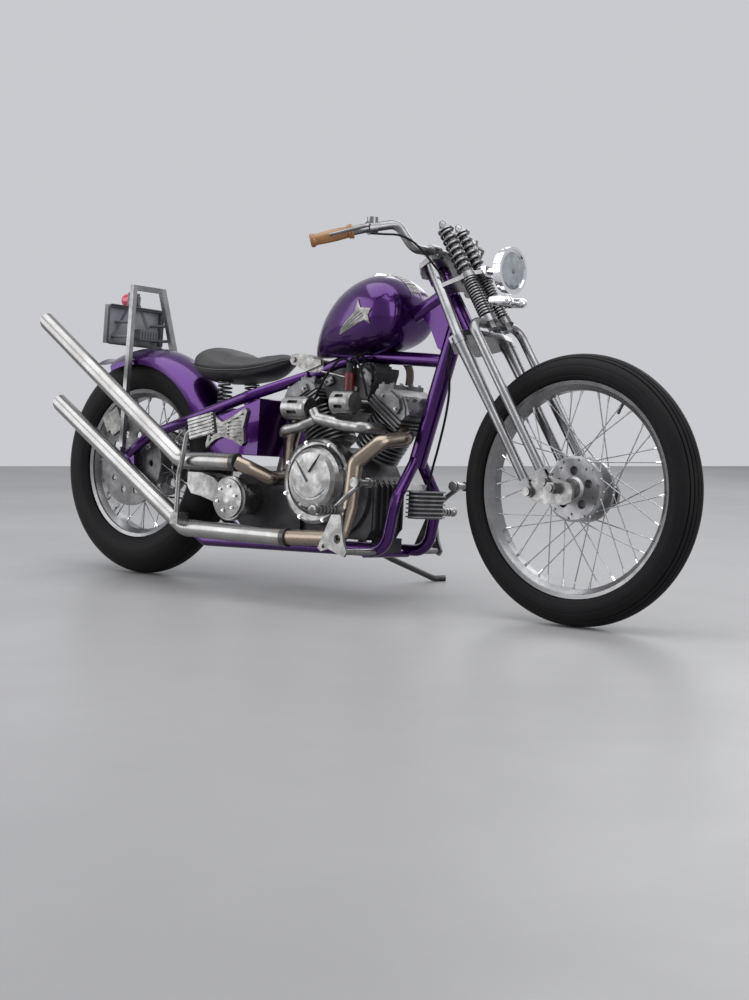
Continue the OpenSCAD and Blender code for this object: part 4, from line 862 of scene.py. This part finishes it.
class CHOPPER_OT_fittings(bpy.types.Operator):
    """Add cover bolts, joint rings and other small fittings"""
    bl_idname = "chopper.fittings"
    bl_label = "Small fittings"

    def bolt(self, bm, p, u, d):
        p, u = Vector(p), Vector(u).normalized()
        bar(bm, p, p + u * 1.6, d * 1.35, d * 1.35, 18)
        bar(bm, p + u * 1.5, p + u * 6.5, d, d * 0.94, 6)

    def execute(self, context):
        d = sizes().bolt * 1000
        bm = bmesh.new()
        # right cover: a ring of bolts in its flange
        for i in range(8):
            a = math.radians(45 * i + 20)
            self.bolt(bm, (6 + 113 * math.cos(a), -78.5 - 42, 326 + 113 * math.sin(a)), (0, -1, 0), d * 0.75)
        for i in range(6):
            a = math.radians(60 * i + 15)
            self.bolt(bm, (41 + 100 * math.cos(a), 98, 300 + 100 * math.sin(a)), (0, 1, 0), d * 0.75)
            self.bolt(bm, (-272 + 36 * math.cos(a), -186.4, 261 + 36 * math.sin(a)), (0, -1, 0), d * 0.5)
        piece("cover_bolts", bm, BIKE, look("chrome"), "chassis")
        # rocker covers' bolts
        bm = bmesh.new()
        for tilt in (36, -30):
            bank = turned((41, 0, 300), tilt, "Y")
            for side in (-1, 1):
                for y0 in (-68, 17):
                    slope = bank @ turned((side * 41, y0, 332), side * 35, "Y")
                    for x in (-18, 18):
                        for y in (8, 43):
                            p = slope @ Vector((x, y, 12.6))
                            q = slope @ Vector((x, y, 18))
                            self.bolt(bm, p, q - p, d * 0.7)
            for x in (-30, 30):
                p = bank @ Vector((x, -80, 316))
                self.bolt(bm, p, (0, -1, 0), d * 0.7)
        piece("rocker_bolts", bm, BIKE, look("worn chrome"), "chassis")
        # plate holder: a rubber edge round its tray and the blank plate inside it
        bm = bmesh.new()
        block(bm, (-924, -108, 727), (-921.5, 108, 836), bevel=1.0)
        piece("blank_plate", bm, BIKE, look("blank plate"), "chassis")
        corners = [(-909, y, z) for y, z in ((-118, 720), (118, 720), (118, 843), (-118, 843))]
        edge = []
        for i, c in enumerate(corners):
            before, after = Vector(corners[i - 1]), Vector(corners[(i + 1) % 4])
            c = Vector(c)
            p, q = c + (before - c).normalized() * 14, c + (after - c).normalized() * 14
            edge += [p * (1 - t) ** 2 + c * 2 * t * (1 - t) + q * t * t for t in (0, 0.25, 0.5, 0.75, 1)]
        wire("plate_edge", [edge], 7, BIKE, look("black paint"), "chassis", cyclic=True)
        # castings, linkage rod and hoses beside the air box
        bm = bmesh.new()
        for at, size, turn in CASTINGS:
            block(bm, [-k / 2 for k in size], [k / 2 for k in size],
                  turned(at, turn, "Y"), 2.5)
        for x, z in ((112, 638), (144, 615), (-24, 610), (-4, 614)):
            self.bolt(bm, (x, -62, z), (0, -1, 0), d * 0.6)
        piece("intake_castings", bm, BIKE, look("cast engine grey"), "chassis")
        bm = bmesh.new()
        block(bm, (84, -44, 651), (142, 30, 662), bevel=3)
        for i in range(4):
            block(bm, (90 + 13 * i, -46, 658), (96 + 13 * i, 26, 667), bevel=1.5)
        piece("intake_bracket", bm, BIKE, look("dark castings"), "chassis")
        bm = bmesh.new()
        bar(bm, (-44, -66, 640), (52, -66, 624), 6)
        for x, z in ((-44, 640), (52, 624)):
            ball(bm, (x, -66, z), 11)
            bar(bm, (x, -66, z), (x, -51, z), 7)
        piece("linkage_rod", bm, BIKE, look("worn chrome"), "chassis")
        hoses = [[(92, -30, 656), (96, -40, 676), (90, -46, 688), (74, -44, 684), (60, -36, 664), (58, -30, 648)],
                 [(134, -52, 600), (150, -62, 618), (150, -66, 638), (138, -56, 652), (128, -44, 656)]]
        wire("small_hoses", [smooth_path(p, 8) for p in hoses], 9, BIKE, look("black rubber"), "chassis")
        # painted shade: dark blocks inside the canisters' slots and between the cooler's fins, standing in for the
        # shade in these hollows
        bm = bmesh.new()
        for x, z, l in CANISTERS:
            for a in SLOT_TURNS:
                turn = turned((x + l * 0.3, -142, z), a, "X")
                block(bm, (0.2, -26.5, -4.8), (l * 0.4 - 0.2, -25.2, 4.8), turn)
        block(bm, (294.4, -56.6, 241.4), (327.6, 56.6, 317.6))
        piece("dark_recesses", bm, BIKE, look("dark castings"), "chassis")
        # black rings where headers enter the tail pipes
        bm = bmesh.new()
        for a, b, dd in (((-224, -215.3, 365.8), (-208, -214.8, 366), 53), ((-10, -218, 168), (6, -217.6, 168.4), 53)):
            bar(bm, a, b, dd, dd, 36)
        piece("pipe_rings", bm, BIKE, look("black paint"), "chassis")
        return {"FINISHED"}


# ---------------------------------------------------------------- Stage

def lamp(name, at, aim, power, size, size_y):
    l = bpy.data.lights.new(name, "AREA")
    l.shape = "RECTANGLE"
    l.energy = power
    l.size, l.size_y = size, size_y
    o = bpy.data.objects.new(name, l)
    o.location = at
    o.rotation_euler = (Vector(aim) - Vector(at)).to_track_quat("-Z", "Y").to_euler()
    bpy.context.scene.collection.objects.link(o)


class CHOPPER_OT_stage(bpy.types.Operator):
    """Set up the floor, the lights, the world and the camera"""
    bl_idname = "chopper.stage"
    bl_label = "Stage"

    def execute(self, context):
        scene = context.scene
        az = math.radians(39.472)
        right = Vector((math.cos(az), math.sin(az), 0))
        back = Vector((math.sin(az), -math.cos(az), 0))
        up = Vector((0, 0, 1))
        camera = bpy.data.cameras.new("camera")
        camera.sensor_width = 36
        camera.lens = 59.585
        camera.shift_y = -0.1509
        camera.clip_end = 100
        o = bpy.data.objects.new("camera", camera)
        o.matrix_world = Matrix(((right.x, up.x, back.x, 3.095), (right.y, up.y, back.y, -3.578 + PARK_Y / 1000),
                                 (right.z, up.z, back.z, 0.707), (0, 0, 0, 1)))
        scene.collection.objects.link(o)
        scene.camera = o
        bm = bmesh.new()
        got = bmesh.ops.create_grid(bm, x_segments=1, y_segments=1, size=1)
        for v in got["verts"]:
            # a wide floor that ends some way behind the machine, where the pale wall begins
            p = o.matrix_world.translation + right * 12 * v.co.x - back * (4.5 + 5.5 * v.co.y)
            v.co = (p.x, p.y, 0)
        me = bpy.data.meshes.new("floor")
        bm.to_mesh(me)
        bm.free()
        floor = bpy.data.objects.new("floor", me)
        scene.collection.objects.link(floor)
        me.materials.append(look("floor"))
        world = bpy.data.worlds.new("world")
        scene.world = world
        world.use_nodes = True
        t = world.node_tree
        t.nodes.clear()
        out = node(t, "ShaderNodeOutputWorld")
        plain = node(t, "ShaderNodeBackground")
        plain.inputs["Color"].default_value = (0.86, 0.87, 0.90, 1)
        plain.inputs["Strength"].default_value = 0.30
        seen = node(t, "ShaderNodeBackground")
        seen.inputs["Color"].default_value = (0.58, 0.59, 0.62, 1)
        seen.inputs["Strength"].default_value = 1.0
        path = node(t, "ShaderNodeLightPath")
        either = node(t, "ShaderNodeMath", operation="MAXIMUM")
        any_seen = node(t, "ShaderNodeMath", operation="MAXIMUM")
        mix = node(t, "ShaderNodeMixShader")
        t.links.new(path.outputs["Is Camera Ray"], either.inputs[0])
        t.links.new(path.outputs["Is Glossy Ray"], either.inputs[1])
        t.links.new(either.outputs["Value"], any_seen.inputs[0])
        t.links.new(path.outputs["Is Transmission Ray"], any_seen.inputs[1])
        t.links.new(any_seen.outputs["Value"], mix.inputs["Fac"])
        t.links.new(plain.outputs["Background"], mix.inputs[1])
        t.links.new(seen.outputs["Background"], mix.inputs[2])
        t.links.new(mix.outputs["Shader"], out.inputs["Surface"])
        lamp("top", (0.2, -0.8, 4.2), (0, 0, 0.4), 190, 6.5, 4.2)
        lamp("left wall", (-3.6, -3.8, 1.9), (0, 0, 0.5), 85, 4.2, 3.4)
        lamp("right wall", (5.2, -0.8, 1.9), (0.2, 0, 0.5), 88, 3.4, 3.6)
        lamp("rear", (-0.5, 4.2, 2.8), (0, 0, 0.5), 60, 4.5, 2.0)
        return {"FINISHED"}


class CHOPPER_PT_panel(bpy.types.Panel):
    """Lists the chopper's pieces"""
    bl_idname = "CHOPPER_PT_panel"
    bl_label = "Chopper"
    bl_space_type = "VIEW_3D"
    bl_region_type = "UI"
    bl_category = "Chopper"

    def draw(self, context):
        for group in (context.scene.chopper_colours, context.scene.chopper_sizes):
            for key in group.__annotations__:
                self.layout.prop(group, key)
        for c in OPERATORS:
            self.layout.operator(c.bl_idname)


OPERATORS = (CHOPPER_OT_stage, CHOPPER_OT_materials, CHOPPER_OT_tank, CHOPPER_OT_seat, CHOPPER_OT_tyres,
             CHOPPER_OT_wheels, CHOPPER_OT_springs, CHOPPER_OT_lamps, CHOPPER_OT_cables, CHOPPER_OT_grips,
             CHOPPER_OT_fittings)
CLASSES = (ChopperColours, ChopperSizes) + OPERATORS + (CHOPPER_PT_panel,)


def register():
    for c in CLASSES:
        bpy.utils.register_class(c)
    bpy.types.Scene.chopper_colours = bpy.props.PointerProperty(type=ChopperColours)
    bpy.types.Scene.chopper_sizes = bpy.props.PointerProperty(type=ChopperSizes)


def unregister():
    del bpy.types.Scene.chopper_sizes
    del bpy.types.Scene.chopper_colours
    for c in reversed(CLASSES):
        bpy.utils.unregister_class(c)


def main():
    scene = bpy.context.scene
    scene.view_settings.view_transform = "Standard"
    register()
    for c in OPERATORS:
        group, name = c.bl_idname.split(".")
        getattr(getattr(bpy.ops, group), name)()


if __name__ == "__main__":
    main()
